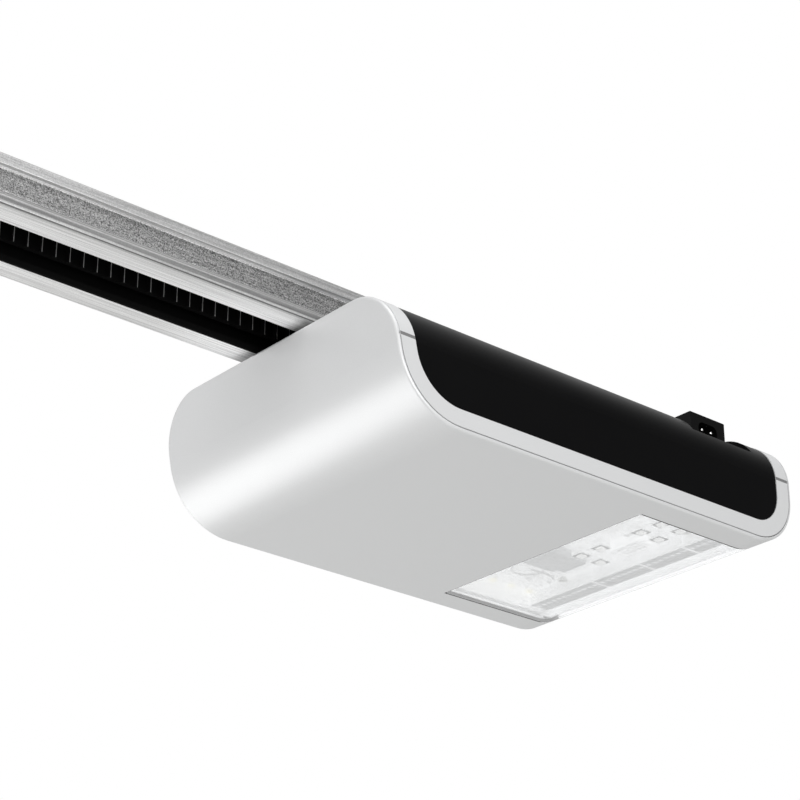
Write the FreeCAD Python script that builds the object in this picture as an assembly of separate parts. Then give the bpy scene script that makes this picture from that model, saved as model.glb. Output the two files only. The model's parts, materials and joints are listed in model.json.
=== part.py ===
"""Ceiling-mounted garage door opener: a drive head, a C-section rail with a toothed belt, a trolley and a door arm.

Millimetres. +X runs along the rail from the door towards the rear of the head, +Z is up.
The origin is the centre of the head's four hanger holes, on the top face of its steel chassis plate.
"""

import FreeCAD, Part
import math
import os

V = FreeCAD.Vector
X = V(1, 0, 0)
Y = V(0, 1, 0)
Z = V(0, 0, 1)

# ---------------------------------------------------------------- driving dimensions
# head casing
HEAD_LENGTH = 345.5
HEAD_WIDTH = 225.0
HEAD_HEIGHT = 80.0
FRONT_SLOPE = math.radians(10.8)    # lean of the front face, its foot set back towards the rear
FRONT_CORNER_R = 48.0
REAR_CORNER_R = 36.0
SHOULDER_R = 34.0                   # rounding of the long top edges
BAND_WIDTH = 13.5                   # light edge band that frames the dark side panel
EDGE_R = 1.6
WALL = 3.0
PANEL_SETBACK = 0.4                 # dark panels sit this far inside the band's face
SEAM = 0.3                          # gap between two casing parts
TONGUE = 2.0                        # lip of the upper housing that laps behind the band
PLATE_THICKNESS = 3.0
PLATE_WIDTH = 116.0
PLATE_END_MARGIN = 21.0

# window in the underside
LENS_WIDTH = 183.6
LENS_SETBACK = 121.8                # from the head's rear face to the lens's front edge
LENS_THICKNESS = 2.5
LENS_RISE = 35.0                    # how far the lens climbs the rear face
LENS_GAP = 0.5
LENS_CORNER_R = 2.5
OPENING_CORNER_R = 1.0              # squarer than the lens, so that its corners clear as it swings

# rail
RAIL_WIDTH = 72.5
RAIL_HEIGHT = 32.5
RAIL_SHEET = 1.5
RAIL_SLOT = 37.8
RAIL_WAIST = 3.0                    # how far the side webs are set in
RAIL_LIP = 4.5                      # height of the lips beside the slot
SHOULDER_DROP = 7.5                 # height of the upper shoulder
FOOT_RISE = 9.0                     # height of the lower bulge

# belt drive
BELT_PITCH = 9.525
PULLEY_TEETH = 12
BELT_WIDTH = 12.0
BELT_BACKING = 2.2
TRAVEL_PITCHES = 240
BELT_RUNNING_GAP = 0.15
IDLER_REACH = 45.0                  # least distance from the front stop to the idler's centre

# gear motor
SHAFT_X = -55.0
SHAFT_R = 6.0
WHEEL_R = 29.3
WHEEL_TEETH = 30
WHEEL_FACE = 14.0
WORM_R = 8.0
WORM_GAP = 0.7
MOTOR_R = 25.0
MOTOR_LENGTH = 70.0
BEARING_R = 14.0
BEARING_WIDTH = 8.0
RUNNING_FIT = 0.05

# trolley and arm
TROLLEY_LENGTH = 160.0
TROLLEY_WIDTH = 52.0
STOP_LENGTH = 18.0
ARM_LENGTH = 420.0
ARM_WIDTH = 30.0
ARM_THICKNESS = 4.0
PIN_R = 4.0

# hanger holes
HANGER_SPACING_X = 260.0
HANGER_SPACING_Y = 96.0
HANGER_HOLE_R = 3.3

# ---------------------------------------------------------------- derived places
HEAD_FRONT = -HEAD_LENGTH / 2
HEAD_REAR = HEAD_LENGTH / 2
HOUSING_TOP = -PLATE_THICKNESS
HEAD_BOTTOM = HOUSING_TOP - HEAD_HEIGHT
HALF_WIDTH = HEAD_WIDTH / 2
INNER_WALL = PANEL_SETBACK + WALL
CEILING = HOUSING_TOP - INNER_WALL              # inner face of the housing's top
PLATE_X = HEAD_LENGTH / 2 - PLATE_END_MARGIN    # half-length of the chassis plate

PITCH_R = PULLEY_TEETH * BELT_PITCH / (2 * math.pi)
PULLEY_R = PITCH_R - 0.38                       # tip radius, the belt's pitch line is just outside it
BELT_INNER = PULLEY_R + BELT_RUNNING_GAP
BELT_OUTER = BELT_INNER + BELT_BACKING
BELT_MID_Z = 19.0
BELT_Z0 = BELT_MID_Z - BELT_WIDTH / 2
BELT_Z1 = BELT_MID_Z + BELT_WIDTH / 2

TRAVEL = TRAVEL_PITCHES * BELT_PITCH
END_GAP = 1.0
REAR_STOP_X = HEAD_FRONT + 20.0                 # door-side face of the rear stop
TROLLEY_X = REAR_STOP_X - END_GAP - TROLLEY_LENGTH / 2 - TRAVEL
FRONT_STOP_X = TROLLEY_X - TROLLEY_LENGTH / 2 - END_GAP - STOP_LENGTH
LOOP_PITCHES = math.ceil((SHAFT_X - FRONT_STOP_X + IDLER_REACH) / BELT_PITCH)
BELT_TEETH = PULLEY_TEETH + 2 * LOOP_PITCHES    # a whole number of teeth all round the loop
IDLER_X = SHAFT_X - LOOP_PITCHES * BELT_PITCH
RAIL_FRONT = IDLER_X - 110.0
RAIL_REAR = SHAFT_X + 48.0

WHEEL_Z = -32.0
WORM_Y = WHEEL_R + WORM_R + WORM_GAP
CASE_X0 = SHAFT_X - 36.0
CASE_X1 = SHAFT_X + 42.0
CASE_Y0 = -36.0
CASE_Y1 = WORM_Y + 14.0
CASE_BOTTOM = -46.0
LID_THICKNESS = 10.0
MOTOR_X0 = CASE_X1
MOTOR_X1 = CASE_X1 + MOTOR_LENGTH
MOTOR_PLATE = 3.0

BOARD_TOP = -61.0
BOARD_THICKNESS = 1.6
BOARD_X0 = HEAD_REAR - LENS_SETBACK + 9.0
BOARD_X1 = HEAD_REAR - 18.0
BOARD_HALF_Y = LENS_WIDTH / 2 + 5.0
BOARD_FACE = BOARD_TOP - BOARD_THICKNESS
BUTTON_FACE = -70.2
BUTTON_ROW_1 = HEAD_REAR - 74.9
BUTTON_ROW_2 = HEAD_REAR - 57.1
BUTTONS = [
    (BUTTON_ROW_1, 7.5),
    (BUTTON_ROW_1, -10.5),
    (BUTTON_ROW_1, -47.5),
    (BUTTON_ROW_1, -65.6),
    (BUTTON_ROW_2, 7.5),
    (BUTTON_ROW_2, -46.5),
    (BUTTON_ROW_2, -65.6),
]

INLET_X = HEAD_REAR - 57.7
INLET_LENGTH = 32.5
INLET_TOP = 2.2
INLET_FACE_Y = -(HALF_WIDTH - 17.5)
INLET_DEPTH = 28.0
POCKET_LENGTH = 56.0
POCKET_FLOOR = -19.0
POCKET_BACK_Y = INLET_FACE_Y + INLET_DEPTH + 1.0
POCKET_WALL = 3.0


# ---------------------------------------------------------------- helpers
def box(x0, x1, y0, y1, z0, z1):
    """A box between two corners."""
    return Part.makeBox(x1 - x0, y1 - y0, z1 - z0, V(x0, y0, z0))


def cylinder(x, y, z, radius, length, axis=Z):
    """A cylinder that starts at a point and runs along an axis."""
    return Part.makeCylinder(radius, length, V(x, y, z), axis)


def fuse(shapes):
    """One solid from several that touch or overlap."""
    shapes = list(shapes)
    return shapes[0].multiFuse(shapes[1:]).removeSplitter()


def cut(shape, tools):
    """A shape with a list of tools taken away."""
    return shape.cut(Part.makeCompound(list(tools)))


def rounded_wire(points, radii, place):
    """A closed wire through 2D points, with a tangent arc of the given radius at each corner."""
    count = len(points)
    corners = []
    for i, radius in enumerate(radii):
        here = V(*points[i], 0)
        back = (V(*points[i - 1], 0) - here).normalize()
        ahead = (V(*points[(i + 1) % count], 0) - here).normalize()
        if radius <= 0:
            corners.append((here, here, here))
            continue
        half = back.getAngle(ahead) / 2
        reach = radius / math.tan(half)
        inward = (back + ahead).normalize()
        middle = here + inward * (radius / math.sin(half) - radius)
        corners.append((here + back * reach, middle, here + ahead * reach))
    edges = []
    for i, (start, middle, end) in enumerate(corners):
        p, q, r = (place(v.x, v.y) for v in (start, middle, end))
        if (start - end).Length > 1e-6:
            edges.append(Part.Arc(p, q, r).toShape())
        following = corners[(i + 1) % count][0]
        if (following - end).Length > 1e-6:
            edges.append(Part.LineSegment(r, place(following.x, following.y)).toShape())
    return Part.Wire(edges)


def prism(points, radii, place, direction):
    """A solid swept straight from a rounded outline."""
    return Part.Face(rounded_wire(points, radii, place)).extrude(direction)


def outline_xy(x0, x1, y0, y1, radius, z0, z1):
    """An upright block with four rounded corners."""
    points = [(x0, y0), (x1, y0), (x1, y1), (x0, y1)]
    return prism(points, [radius] * 4, lambda u, w: V(u, w, z0), Z * (z1 - z0))


def bored(shape, holes):
    """A shape with round holes, each (x, y, z, radius, length, axis)."""
    return cut(shape, [cylinder(*hole) for hole in holes])


def screw(x, y, z, thread_r, head_r, head_height, length, up=1):
    """A pan-head screw whose head starts at z and whose shank runs the other way from up."""
    head = cylinder(x, y, z, head_r, head_height, Z * up)
    rim = [e for e in head.Edges if abs(e.CenterOfMass.z - (z + up * head_height)) < 1e-6 and e.Closed]
    head = head.makeFillet(head_height * 0.45, rim)
    shank = cylinder(x, y, z, thread_r, length, Z * -up)
    drive = cylinder(x, y, z + up * head_height * 0.5, head_r * 0.45, head_height, Z * up)
    return fuse([head, shank]).cut(drive)


def corners_of(spacing_x, spacing_y, x=0.0, y=0.0):
    """The four corners of a rectangle."""
    return [(x + i * spacing_x / 2, y + j * spacing_y / 2) for i in (-1, 1) for j in (-1, 1)]


# ---------------------------------------------------------------- casing
def side_prism(inset, top=HOUSING_TOP):
    """The head's side outline, inset evenly and closed at the height top, swept across the head."""

    def front_x(z):
        return HEAD_FRONT + (HOUSING_TOP - z) * math.tan(FRONT_SLOPE) + inset / math.cos(FRONT_SLOPE)

    bottom = HEAD_BOTTOM + inset
    rear = HEAD_REAR - inset
    points = [(front_x(top), top), (front_x(bottom), bottom), (rear, bottom), (rear, top)]
    radii = [0, FRONT_CORNER_R - inset, REAR_CORNER_R - inset, 0]
    return prism(points, radii, lambda u, w: V(u, -HEAD_WIDTH, w), Y * 2 * HEAD_WIDTH)


def section_prism(inset):
    """The head's cross-section, inset evenly, swept past both ends of the head."""
    side = HALF_WIDTH - inset
    bottom = HEAD_BOTTOM + inset
    top = HOUSING_TOP - inset
    points = [(-side, bottom), (side, bottom), (side, top), (-side, top)]
    radii = [0, 0, SHOULDER_R - inset, SHOULDER_R - inset]
    return prism(points, radii, lambda u, w: V(-HEAD_LENGTH, u, w), X * 2 * HEAD_LENGTH)


def head_block(inset):
    """The head's closed form, inset evenly from its outer surface."""
    return side_prism(inset, HOUSING_TOP - inset).common(section_prism(inset))


def outer_form():
    """The head's outer form with its long outline edge rounded."""
    block = head_block(0)

    def on_outline(edge):
        middle = edge.CenterOfMass
        if edge.Curve.TypeId != "Part::GeomLine":
            return True
        along = edge.tangentAt(edge.FirstParameter)
        if abs(along.x) > 0.999:
            return abs(middle.z - HEAD_BOTTOM) < 0.01
        if abs(along.y) > 0.999:
            return abs(middle.z - HOUSING_TOP) < 0.01
        return abs(abs(middle.y) - HALF_WIDTH) < 0.01

    return block.makeFillet(EDGE_R, [e for e in block.Edges if on_outline(e)])


ABOVE = HOUSING_TOP + HEAD_HEIGHT     # a height that is clear above the head
STRIP_SCREWS = corners_of(HEAD_LENGTH - 20.6, PLATE_WIDTH)
LENS_X0 = HEAD_REAR - LENS_SETBACK
LENS_TOP = HEAD_BOTTOM + LENS_RISE
HINGE_X = LENS_X0 + LENS_THICKNESS / 2
HINGE_Z = HEAD_BOTTOM + LENS_THICKNESS / 2
HINGE_PIN_R = 0.9
HINGE_PIN_LENGTH = 3.6


def lens_outline(grow, z_top, corner_r):
    """The window's plan outline as an upright block, grown on every side."""
    return outline_xy(
        LENS_X0 - grow,
        HEAD_REAR + 20,
        -LENS_WIDTH / 2 - grow,
        LENS_WIDTH / 2 + grow,
        corner_r,
        HEAD_BOTTOM - 5,
        z_top + grow,
    )


def lower_cover():
    """Light cover: front, underside and rear in one shell, with the band that frames the side panels."""
    shell = outer_form().cut(side_prism(BAND_WIDTH, ABOVE)).cut(head_block(WALL))
    groove = side_prism(EDGE_R + 0.2, ABOVE).cut(side_prism(EDGE_R + 0.9, ABOVE)).cut(section_prism(0.5))
    shell = shell.cut(groove)
    ears = []
    for side in (-1, 1):
        y = side * (LENS_WIDTH / 2 + LENS_GAP + 3.5)
        ears.append(box(HINGE_X - 5, HINGE_X + 5, y - 3.5, y + 3.5, HEAD_BOTTOM + 1.5, HEAD_BOTTOM + 6))
    shell = fuse([shell] + ears)
    shell = shell.cut(lens_outline(LENS_GAP, LENS_TOP, OPENING_CORNER_R))
    pin_r = HINGE_PIN_R + RUNNING_FIT
    reach = LENS_WIDTH / 2 + HINGE_PIN_LENGTH + 0.3
    shell = bored(shell, [(HINGE_X, -reach, HINGE_Z, pin_r, 2 * reach, Y)])
    return bored(shell, [(x, y, HOUSING_TOP - WALL - 1, 1.6, WALL + 2, Z) for x, y in STRIP_SCREWS])


def light_lens():
    """Frosted light window that wraps the lower rear corner and pivots on its front edge."""
    skin = head_block(0).cut(head_block(LENS_THICKNESS)).common(lens_outline(0, LENS_TOP, LENS_CORNER_R))
    front_cap = box(LENS_X0 - 1, HINGE_X, -HEAD_WIDTH, HEAD_WIDTH, HEAD_BOTTOM - 1, LENS_TOP)
    knuckle_half = LENS_WIDTH / 2 - LENS_CORNER_R
    knuckle = cylinder(HINGE_X, -knuckle_half, HINGE_Z, LENS_THICKNESS / 2, 2 * knuckle_half, Y)
    plate = skin.cut(front_cap)
    pins = []
    for side in (-1, 1):
        start = side * (knuckle_half - 1)
        length = LENS_WIDTH / 2 + HINGE_PIN_LENGTH - abs(start)
        pins.append(cylinder(HINGE_X, start, HINGE_Z, HINGE_PIN_R, length, Y * side))
    ribs = []
    for side in (-1, 1):
        y = side * (LENS_WIDTH / 2 - 3)
        ribs.append(box(HINGE_X + 6, HEAD_REAR - REAR_CORNER_R, y - 0.75, y + 0.75,
                        HEAD_BOTTOM + 2, HEAD_BOTTOM + LENS_THICKNESS + 2.5))
    return fuse([plate, knuckle] + pins + ribs)


def pocket_block(grow, floor):
    """Block around the recess for the mains inlet, on the right-hand shoulder."""
    half = POCKET_LENGTH / 2 + grow
    return box(INLET_X - half, INLET_X + half, -HALF_WIDTH - 5, POCKET_BACK_Y + grow, floor - grow, 20)


def upper_housing():
    """Dark upper housing: the top and both side panels, with a tongue that laps behind the band."""
    arch = section_prism(PANEL_SETBACK).cut(section_prism(INNER_WALL))
    arch = arch.common(side_prism(BAND_WIDTH + SEAM, ABOVE))
    lap = section_prism(WALL + SEAM).cut(section_prism(WALL + SEAM + TONGUE))
    ring = side_prism(BAND_WIDTH / 2, ABOVE).cut(side_prism(BAND_WIDTH + 8, ABOVE))
    shell = arch.fuse(lap.common(ring))
    pocket_shell = pocket_block(POCKET_WALL, POCKET_FLOOR).common(section_prism(PANEL_SETBACK))
    posts = []
    for x, y in STRIP_SCREWS:
        inward = 1 if x < 0 else -1
        posts.append(cylinder(x + inward * 0.4, y, HOUSING_TOP - WALL - SEAM - 12, 3.0, 12))
    shell = fuse([shell, pocket_shell] + posts)
    shell = shell.cut(pocket_block(0, POCKET_FLOOR))
    inlet_hole = box(INLET_X - 10, INLET_X + 10, POCKET_BACK_Y - 1, POCKET_BACK_Y + POCKET_WALL + 1,
                     POCKET_FLOOR + 1.5, POCKET_FLOOR + 5.5)
    shell = shell.cut(inlet_hole)
    depth = INNER_WALL + 4
    holes = [(SHAFT_X, 0, CEILING - 1, 11.0, depth, Z)]
    holes += [(x, y, CEILING - 1, 3.0, depth, Z) for x, y in case_screw_places()]
    holes += [(x, y, CEILING - 1, HANGER_HOLE_R + 0.2, depth, Z) for x, y in hanger_places()]
    holes += [(x, y, HOUSING_TOP - 14, 1.25, 14, Z) for x, y in STRIP_SCREWS]
    return bored(shell, holes)


def cover_screws():
    """Four screws that hold the light cover's end strips to the dark housing."""
    return [screw(x, y, HOUSING_TOP, 1.25, 2.7, 1.8, 12) for x, y in STRIP_SCREWS]


# ---------------------------------------------------------------- chassis and rail clamps
CLAMP_LENGTH = 30.0
CLAMP_WIDTH = 15.0
CLAMP_PLACES = [(x, side) for x in (SHAFT_X - 45, SHAFT_X + 30) for side in (-1, 1)]
CLAMP_BOLT_Y = RAIL_WIDTH / 2 + 0.3 + CLAMP_WIDTH / 2


def case_screw_places():
    """Where the countersunk screws go down into the gear case, clear of the worm."""
    return corners_of(60, 54, SHAFT_X, 0)


def hanger_places():
    """Where the ceiling hangers bolt to the chassis plate."""
    return corners_of(HANGER_SPACING_X, HANGER_SPACING_Y)


def chassis_plate():
    """Steel plate that joins the rail, the gear motor and the ceiling hangers."""
    plate = outline_xy(-PLATE_X, PLATE_X, -PLATE_WIDTH / 2, PLATE_WIDTH / 2, 8, HOUSING_TOP, 0)
    depth = PLATE_THICKNESS + 2
    holes = [(SHAFT_X, 0, HOUSING_TOP - 1, 11.0, depth, Z)]
    holes += [(x, y, HOUSING_TOP - 1, HANGER_HOLE_R, depth, Z) for x, y in hanger_places()]
    holes += [(x, side * CLAMP_BOLT_Y, HOUSING_TOP - 1, 2.55, depth, Z) for x, side in CLAMP_PLACES]
    plate = bored(plate, holes)
    sinks = [Part.makeCone(2.6, 5.2, PLATE_THICKNESS, V(x, y, HOUSING_TOP)) for x, y in case_screw_places()]
    return cut(plate, sinks)


def rail_clamps():
    """Four hooked clamps that hold the rail's foot down on the plate."""
    clamps = []
    foot = RAIL_WIDTH / 2
    waist = foot - RAIL_WAIST
    for x, side in CLAMP_PLACES:
        points = [
            (foot + 0.3, 0),
            (foot + CLAMP_WIDTH, 0),
            (foot + CLAMP_WIDTH, 6),
            (foot + 6, FOOT_RISE + 6),
            (waist + 0.3, FOOT_RISE + 6),
            (waist + 0.3, FOOT_RISE + 1.4),
            (foot + 0.3, FOOT_RISE - 1.6),
        ]
        clamp = prism(
            points,
            [0, 1, 3, 3, 1, 0, 0],
            lambda u, w: V(x - CLAMP_LENGTH / 2, side * u, w),
            X * CLAMP_LENGTH,
        )
        bolt_y = side * CLAMP_BOLT_Y
        seat = cylinder(x, bolt_y, 5, 5.2, 20)
        bore = cylinder(x, bolt_y, -1, 2.6, 20)
        clamps.append(clamp.cut(seat).cut(bore))
    return clamps


def clamp_screws():
    """One screw through each rail clamp into the chassis plate."""
    return [screw(x, side * CLAMP_BOLT_Y, 5, 2.5, 4.6, 3.2, 5 + PLATE_THICKNESS) for x, side in CLAMP_PLACES]


def rail_half(inset):
    """Half of the rail's outline from the slot lip round to the top's middle, inset into the sheet."""
    foot = RAIL_WIDTH / 2 - inset
    waist = foot - RAIL_WAIST
    top = RAIL_HEIGHT - inset
    shoulder = RAIL_HEIGHT - SHOULDER_DROP
    slot = RAIL_SLOT / 2
    lip = RAIL_SHEET - inset
    return [
        (slot + RAIL_SHEET - lip, RAIL_LIP),
        (slot + RAIL_SHEET - lip, inset),
        (foot, inset),
        (foot, FOOT_RISE - 3),
        (waist, FOOT_RISE + 1),
        (waist, shoulder + inset),
        (foot, shoulder + inset),
        (foot, top),
    ]


def rail():
    """Zinc-coated steel C-rail, open underneath, with waisted sides."""
    outer = rail_half(0)
    inner = rail_half(RAIL_SHEET)
    half = outer + [(0, RAIL_HEIGHT), (0, RAIL_HEIGHT - RAIL_SHEET)] + inner[::-1]
    bend = 1.0
    outer_radii = [0, bend, bend + 0.6, 2.2, 2.2, bend, bend, bend + 1]
    inner_radii = [0, 0.3, 0.6, 2.0, 2.0, 0.6, 0.6, 0.9]
    radii = outer_radii + [0, 0] + inner_radii[::-1]
    length = RAIL_REAR - RAIL_FRONT
    right = prism(half, radii, lambda u, w: V(RAIL_FRONT, -u, w), X * length)
    left = prism(half, radii, lambda u, w: V(RAIL_FRONT, u, w), X * length)
    body = fuse([right, left])
    bolt_holes = [(x, y, RAIL_HEIGHT - 5, 3.2, 10, Z) for x, y in head_plate_bolts()]
    return bored(body, bolt_holes)


# ---------------------------------------------------------------- belt, pulleys and tensioner
def loop_outline(radius, z0, height):
    """A flat loop's outline round both pulleys."""
    far = IDLER_X
    near = SHAFT_X
    edges = [
        Part.LineSegment(V(far, -radius, z0), V(near, -radius, z0)).toShape(),
        Part.Arc(V(near, -radius, z0), V(near + radius, 0, z0), V(near, radius, z0)).toShape(),
        Part.LineSegment(V(near, radius, z0), V(far, radius, z0)).toShape(),
        Part.Arc(V(far, radius, z0), V(far - radius, 0, z0), V(far, -radius, z0)).toShape(),
    ]
    return Part.Face(Part.Wire(edges)).extrude(Z * height)


def belt():
    """The belt's backing as a plain band round both pulleys."""
    return loop_outline(BELT_OUTER, BELT_Z0, BELT_WIDTH).cut(loop_outline(BELT_INNER, BELT_Z0, BELT_WIDTH))


def toothed_pulley(x, bore_r, hub_bottom, hub_r):
    """A toothed pulley with two flanges and a hub below."""
    z0 = BELT_Z0 - 0.3
    z1 = BELT_Z1 + 0.3
    flange = 1.2
    disc = cylinder(x, 0, z0, PULLEY_R, z1 - z0)
    gaps = []
    for i in range(PULLEY_TEETH):
        angle = (i + 0.5) * 360 / PULLEY_TEETH
        root = PULLEY_R - 2.0
        points = [(root, -1.5), (PULLEY_R + 1, -2.6), (PULLEY_R + 1, 2.6), (root, 1.5)]
        gap = prism(points, [0.5, 0, 0, 0.5], lambda u, w: V(u, w, z0), Z * (z1 - z0))
        gap.rotate(V(0, 0, 0), Z, angle)
        gap.translate(V(x, 0, 0))
        gaps.append(gap)
    toothed = cut(disc, gaps)
    rim = BELT_OUTER + 0.6
    flanges = [cylinder(x, 0, z0 - flange, rim, flange), cylinder(x, 0, z1, rim, flange)]
    hub = cylinder(x, 0, hub_bottom, hub_r, z1 - hub_bottom)
    return bored(fuse([toothed, hub] + flanges), [(x, 0, -10, bore_r, 60, Z)])


def drive_pulley():
    """Pulley on the output shaft, inside the rail."""
    return toothed_pulley(SHAFT_X, SHAFT_R, 4.0, 9.5)


IDLER_AXLE_R = 4.0
YOKE_SHEET = 2.0
YOKE_TOP = BELT_Z1 + 2.4
YOKE_BOTTOM = BELT_Z0 - 2.4
YOKE_BACK = IDLER_X - BELT_OUTER - 8


def idler_pulley():
    """Free pulley at the door end."""
    return toothed_pulley(IDLER_X, IDLER_AXLE_R + RUNNING_FIT, YOKE_BOTTOM + 0.2, 9.5)


def idler_axle():
    """Axle pressed through the yoke, with a head under it."""
    shaft = cylinder(IDLER_X, 0, YOKE_BOTTOM - YOKE_SHEET, IDLER_AXLE_R, YOKE_TOP - YOKE_BOTTOM + 2 * YOKE_SHEET)
    head = cylinder(IDLER_X, 0, YOKE_BOTTOM - YOKE_SHEET - 1.5, 6.5, 1.5)
    return fuse([shaft, head])


def tension_yoke():
    """U-shaped steel yoke that carries the idler and is drawn forward by the tension screw."""
    x0 = YOKE_BACK
    x1 = IDLER_X + 12
    half = 17.0
    z0 = YOKE_BOTTOM - YOKE_SHEET
    z1 = YOKE_TOP + YOKE_SHEET
    plates = [
        outline_xy(x0, x1, -half, half, 5, z0, YOKE_BOTTOM),
        outline_xy(x0, x1, -half, half, 5, YOKE_TOP, z1),
        box(x0, x0 + YOKE_SHEET, -half + 5, half - 5, z0, z1),
    ]
    bore_length = z1 - z0 + 2
    body = bored(fuse(plates), [(IDLER_X, 0, z0 - 1, IDLER_AXLE_R, bore_length, Z)])
    return bored(body, [(x0 - 1, 0, BELT_MID_Z, TENSION_R, YOKE_SHEET + 2, X)])


TENSION_R = 3.0
END_PLATE_X = RAIL_FRONT + 48.0
END_PLATE = 5.0
SPRING_LENGTH = 22.0


def tension_screw():
    """Long screw from the yoke through the end plate, with its head inside the yoke."""
    start = YOKE_BACK + YOKE_SHEET
    end = END_PLATE_X - SPRING_LENGTH - 14
    shank = cylinder(start, 0, BELT_MID_Z, TENSION_R, start - end, X * -1)
    head = cylinder(start, 0, BELT_MID_Z, 5.2, 3.5, X)
    return fuse([shank, head])


def hexagon(x, y, z, across, height, axis_place):
    """A hexagonal prism whose outline is placed by a function of two coordinates."""
    radius = across / math.sqrt(3)
    points = [(radius * math.cos(math.radians(60 * i)), radius * math.sin(math.radians(60 * i))) for i in range(6)]
    return prism(points, [0] * 6, lambda u, w: axis_place(x, y, z, u, w), height)


def tension_nut():
    """Hexagon nut that sets the belt's tension against the spring."""
    x = END_PLATE_X - SPRING_LENGTH - 6.5
    nut = hexagon(x, 0, BELT_MID_Z, 11.0, X * 5.5, lambda a, b, c, u, w: V(a, b + u, c + w))
    return bored(nut, [(x - 1, 0, BELT_MID_Z, TENSION_R, 8, X)])


def tension_spring():
    """Compression spring between the nut and the end plate."""
    wire_r = 0.9
    coil_r = 5.2
    turns = 6
    height = SPRING_LENGTH - 2 * wire_r - 1.0
    pitch = height / turns
    helix = Part.makeHelix(pitch, height, coil_r)
    start = Part.Circle(V(coil_r, 0, 0), V(0, coil_r, pitch / (2 * math.pi)), wire_r).toShape()
    coil = Part.Wire(helix).makePipeShell([Part.Wire(start)], True, True)
    seat = Part.makeCylinder(coil_r + wire_r, 0.8).cut(Part.makeCylinder(coil_r - wire_r, 0.8))
    low = seat.translated(V(0, 0, -wire_r))
    high = seat.translated(V(0, 0, height + wire_r - 0.8))
    spring = coil.multiFuse([low, high])
    spring.rotate(V(0, 0, 0), Y, -90)
    spring.translate(V(END_PLATE_X - wire_r - 0.1, 0, BELT_MID_Z))
    return spring


def head_plate_bolts():
    """Where the end plate's tab bolts up through the rail's top."""
    return [(END_PLATE_X - 16, y) for y in (-16, 16)]


LINTEL_BOLT_X = RAIL_FRONT - 14.0
LINTEL_EAR_Y = 24.0
LINTEL_EAR = 3.0


def rail_head_plate():
    """Steel end fitting: closes the rail's door end and carries the lintel bracket's pivot."""
    inner_half = RAIL_WIDTH / 2 - RAIL_SHEET - RAIL_WAIST - 0.4
    wall = box(END_PLATE_X, END_PLATE_X + END_PLATE, -inner_half, inner_half, 6, RAIL_HEIGHT - RAIL_SHEET)
    tab_top = RAIL_HEIGHT - RAIL_SHEET
    tab = box(END_PLATE_X - 30, END_PLATE_X + END_PLATE, -inner_half, inner_half, tab_top - 3, tab_top)
    ears = []
    for side in (-1, 1):
        inner = side * (LINTEL_EAR_Y - LINTEL_EAR)
        outer = side * LINTEL_EAR_Y
        low = min(inner, outer)
        high = max(inner, outer)
        ear = box(LINTEL_BOLT_X, END_PLATE_X + END_PLATE, low, high, 8, RAIL_HEIGHT - RAIL_SHEET)
        nose = cylinder(LINTEL_BOLT_X, low, BELT_MID_Z, 11, LINTEL_EAR, Y)
        ears.append(fuse([ear, nose]))
    body = fuse([wall, tab] + ears)
    holes = [(END_PLATE_X - 1, 0, BELT_MID_Z, TENSION_R + 0.3, END_PLATE + 2, X)]
    holes += [(x, y, tab_top - 4, 2.6, 6, Z) for x, y in head_plate_bolts()]
    holes += [(LINTEL_BOLT_X, -LINTEL_EAR_Y - 1, BELT_MID_Z, PIN_R, 2 * LINTEL_EAR_Y + 2, Y)]
    return bored(body, holes)


def rail_bolts():
    """Two bolts that hold the end fitting to the rail's top."""
    return [screw(x, y, RAIL_HEIGHT, 2.5, 4.8, 3.0, RAIL_SHEET + 3.4) for x, y in head_plate_bolts()]


LINTEL_PLATE_X = LINTEL_BOLT_X - 30.0
LINTEL_CHEEK_Y = LINTEL_EAR_Y + 0.6


def lintel_bracket():
    """Header bracket screwed to the lintel: a plate and two cheeks that pivot on the end fitting."""
    plate = outline_rounded_yz(LINTEL_PLATE_X, 4, 60, 50, 6)
    cheeks = []
    for side in (-1, 1):
        low = LINTEL_CHEEK_Y if side > 0 else -LINTEL_CHEEK_Y - LINTEL_EAR
        cheek = box(LINTEL_PLATE_X + 2, LINTEL_BOLT_X, low, low + LINTEL_EAR, BELT_MID_Z - 11, BELT_MID_Z + 11)
        cheeks.append(cheek)
        cheeks.append(cylinder(LINTEL_BOLT_X, low, BELT_MID_Z, 11, LINTEL_EAR, Y))
    body = fuse([plate] + cheeks)
    reach = LINTEL_CHEEK_Y + LINTEL_EAR + 1
    holes = [(LINTEL_BOLT_X, -reach, BELT_MID_Z, PIN_R + RUNNING_FIT, 2 * reach, Y)]
    for y in (-LINTEL_HOLE_Y, LINTEL_HOLE_Y):
        for z in (-LINTEL_HOLE_Z, LINTEL_HOLE_Z):
            holes.append((LINTEL_PLATE_X - 1, y, BELT_MID_Z + z, 4.2, 6, X))
    return bored(body, holes)


LINTEL_HOLE_Y = 45.0
LINTEL_HOLE_Z = 14.0


def outline_rounded_yz(x, thickness, half_y, height, radius):
    """An upright plate facing along X, centred on the belt's height."""
    z0 = BELT_MID_Z - height / 2
    points = [(-half_y, z0), (half_y, z0), (half_y, z0 + height), (-half_y, z0 + height)]
    return prism(points, [radius] * 4, lambda u, w: V(x, u, w), X * thickness)


def lintel_bolt():
    """Pivot bolt with a hexagon head and nut outside the cheeks."""
    reach = LINTEL_CHEEK_Y + LINTEL_EAR + 0.4
    shank = cylinder(LINTEL_BOLT_X, -reach, BELT_MID_Z, PIN_R, 2 * reach + 6, Y)
    head = hexagon(LINTEL_BOLT_X, -reach - 5, BELT_MID_Z, 13.0, Y * 5, lambda a, b, c, u, w: V(a + u, b, c + w))
    nut = hexagon(LINTEL_BOLT_X, reach, BELT_MID_Z, 13.0, Y * 5, lambda a, b, c, u, w: V(a + u, b, c + w))
    return fuse([shank, head, nut])


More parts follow.
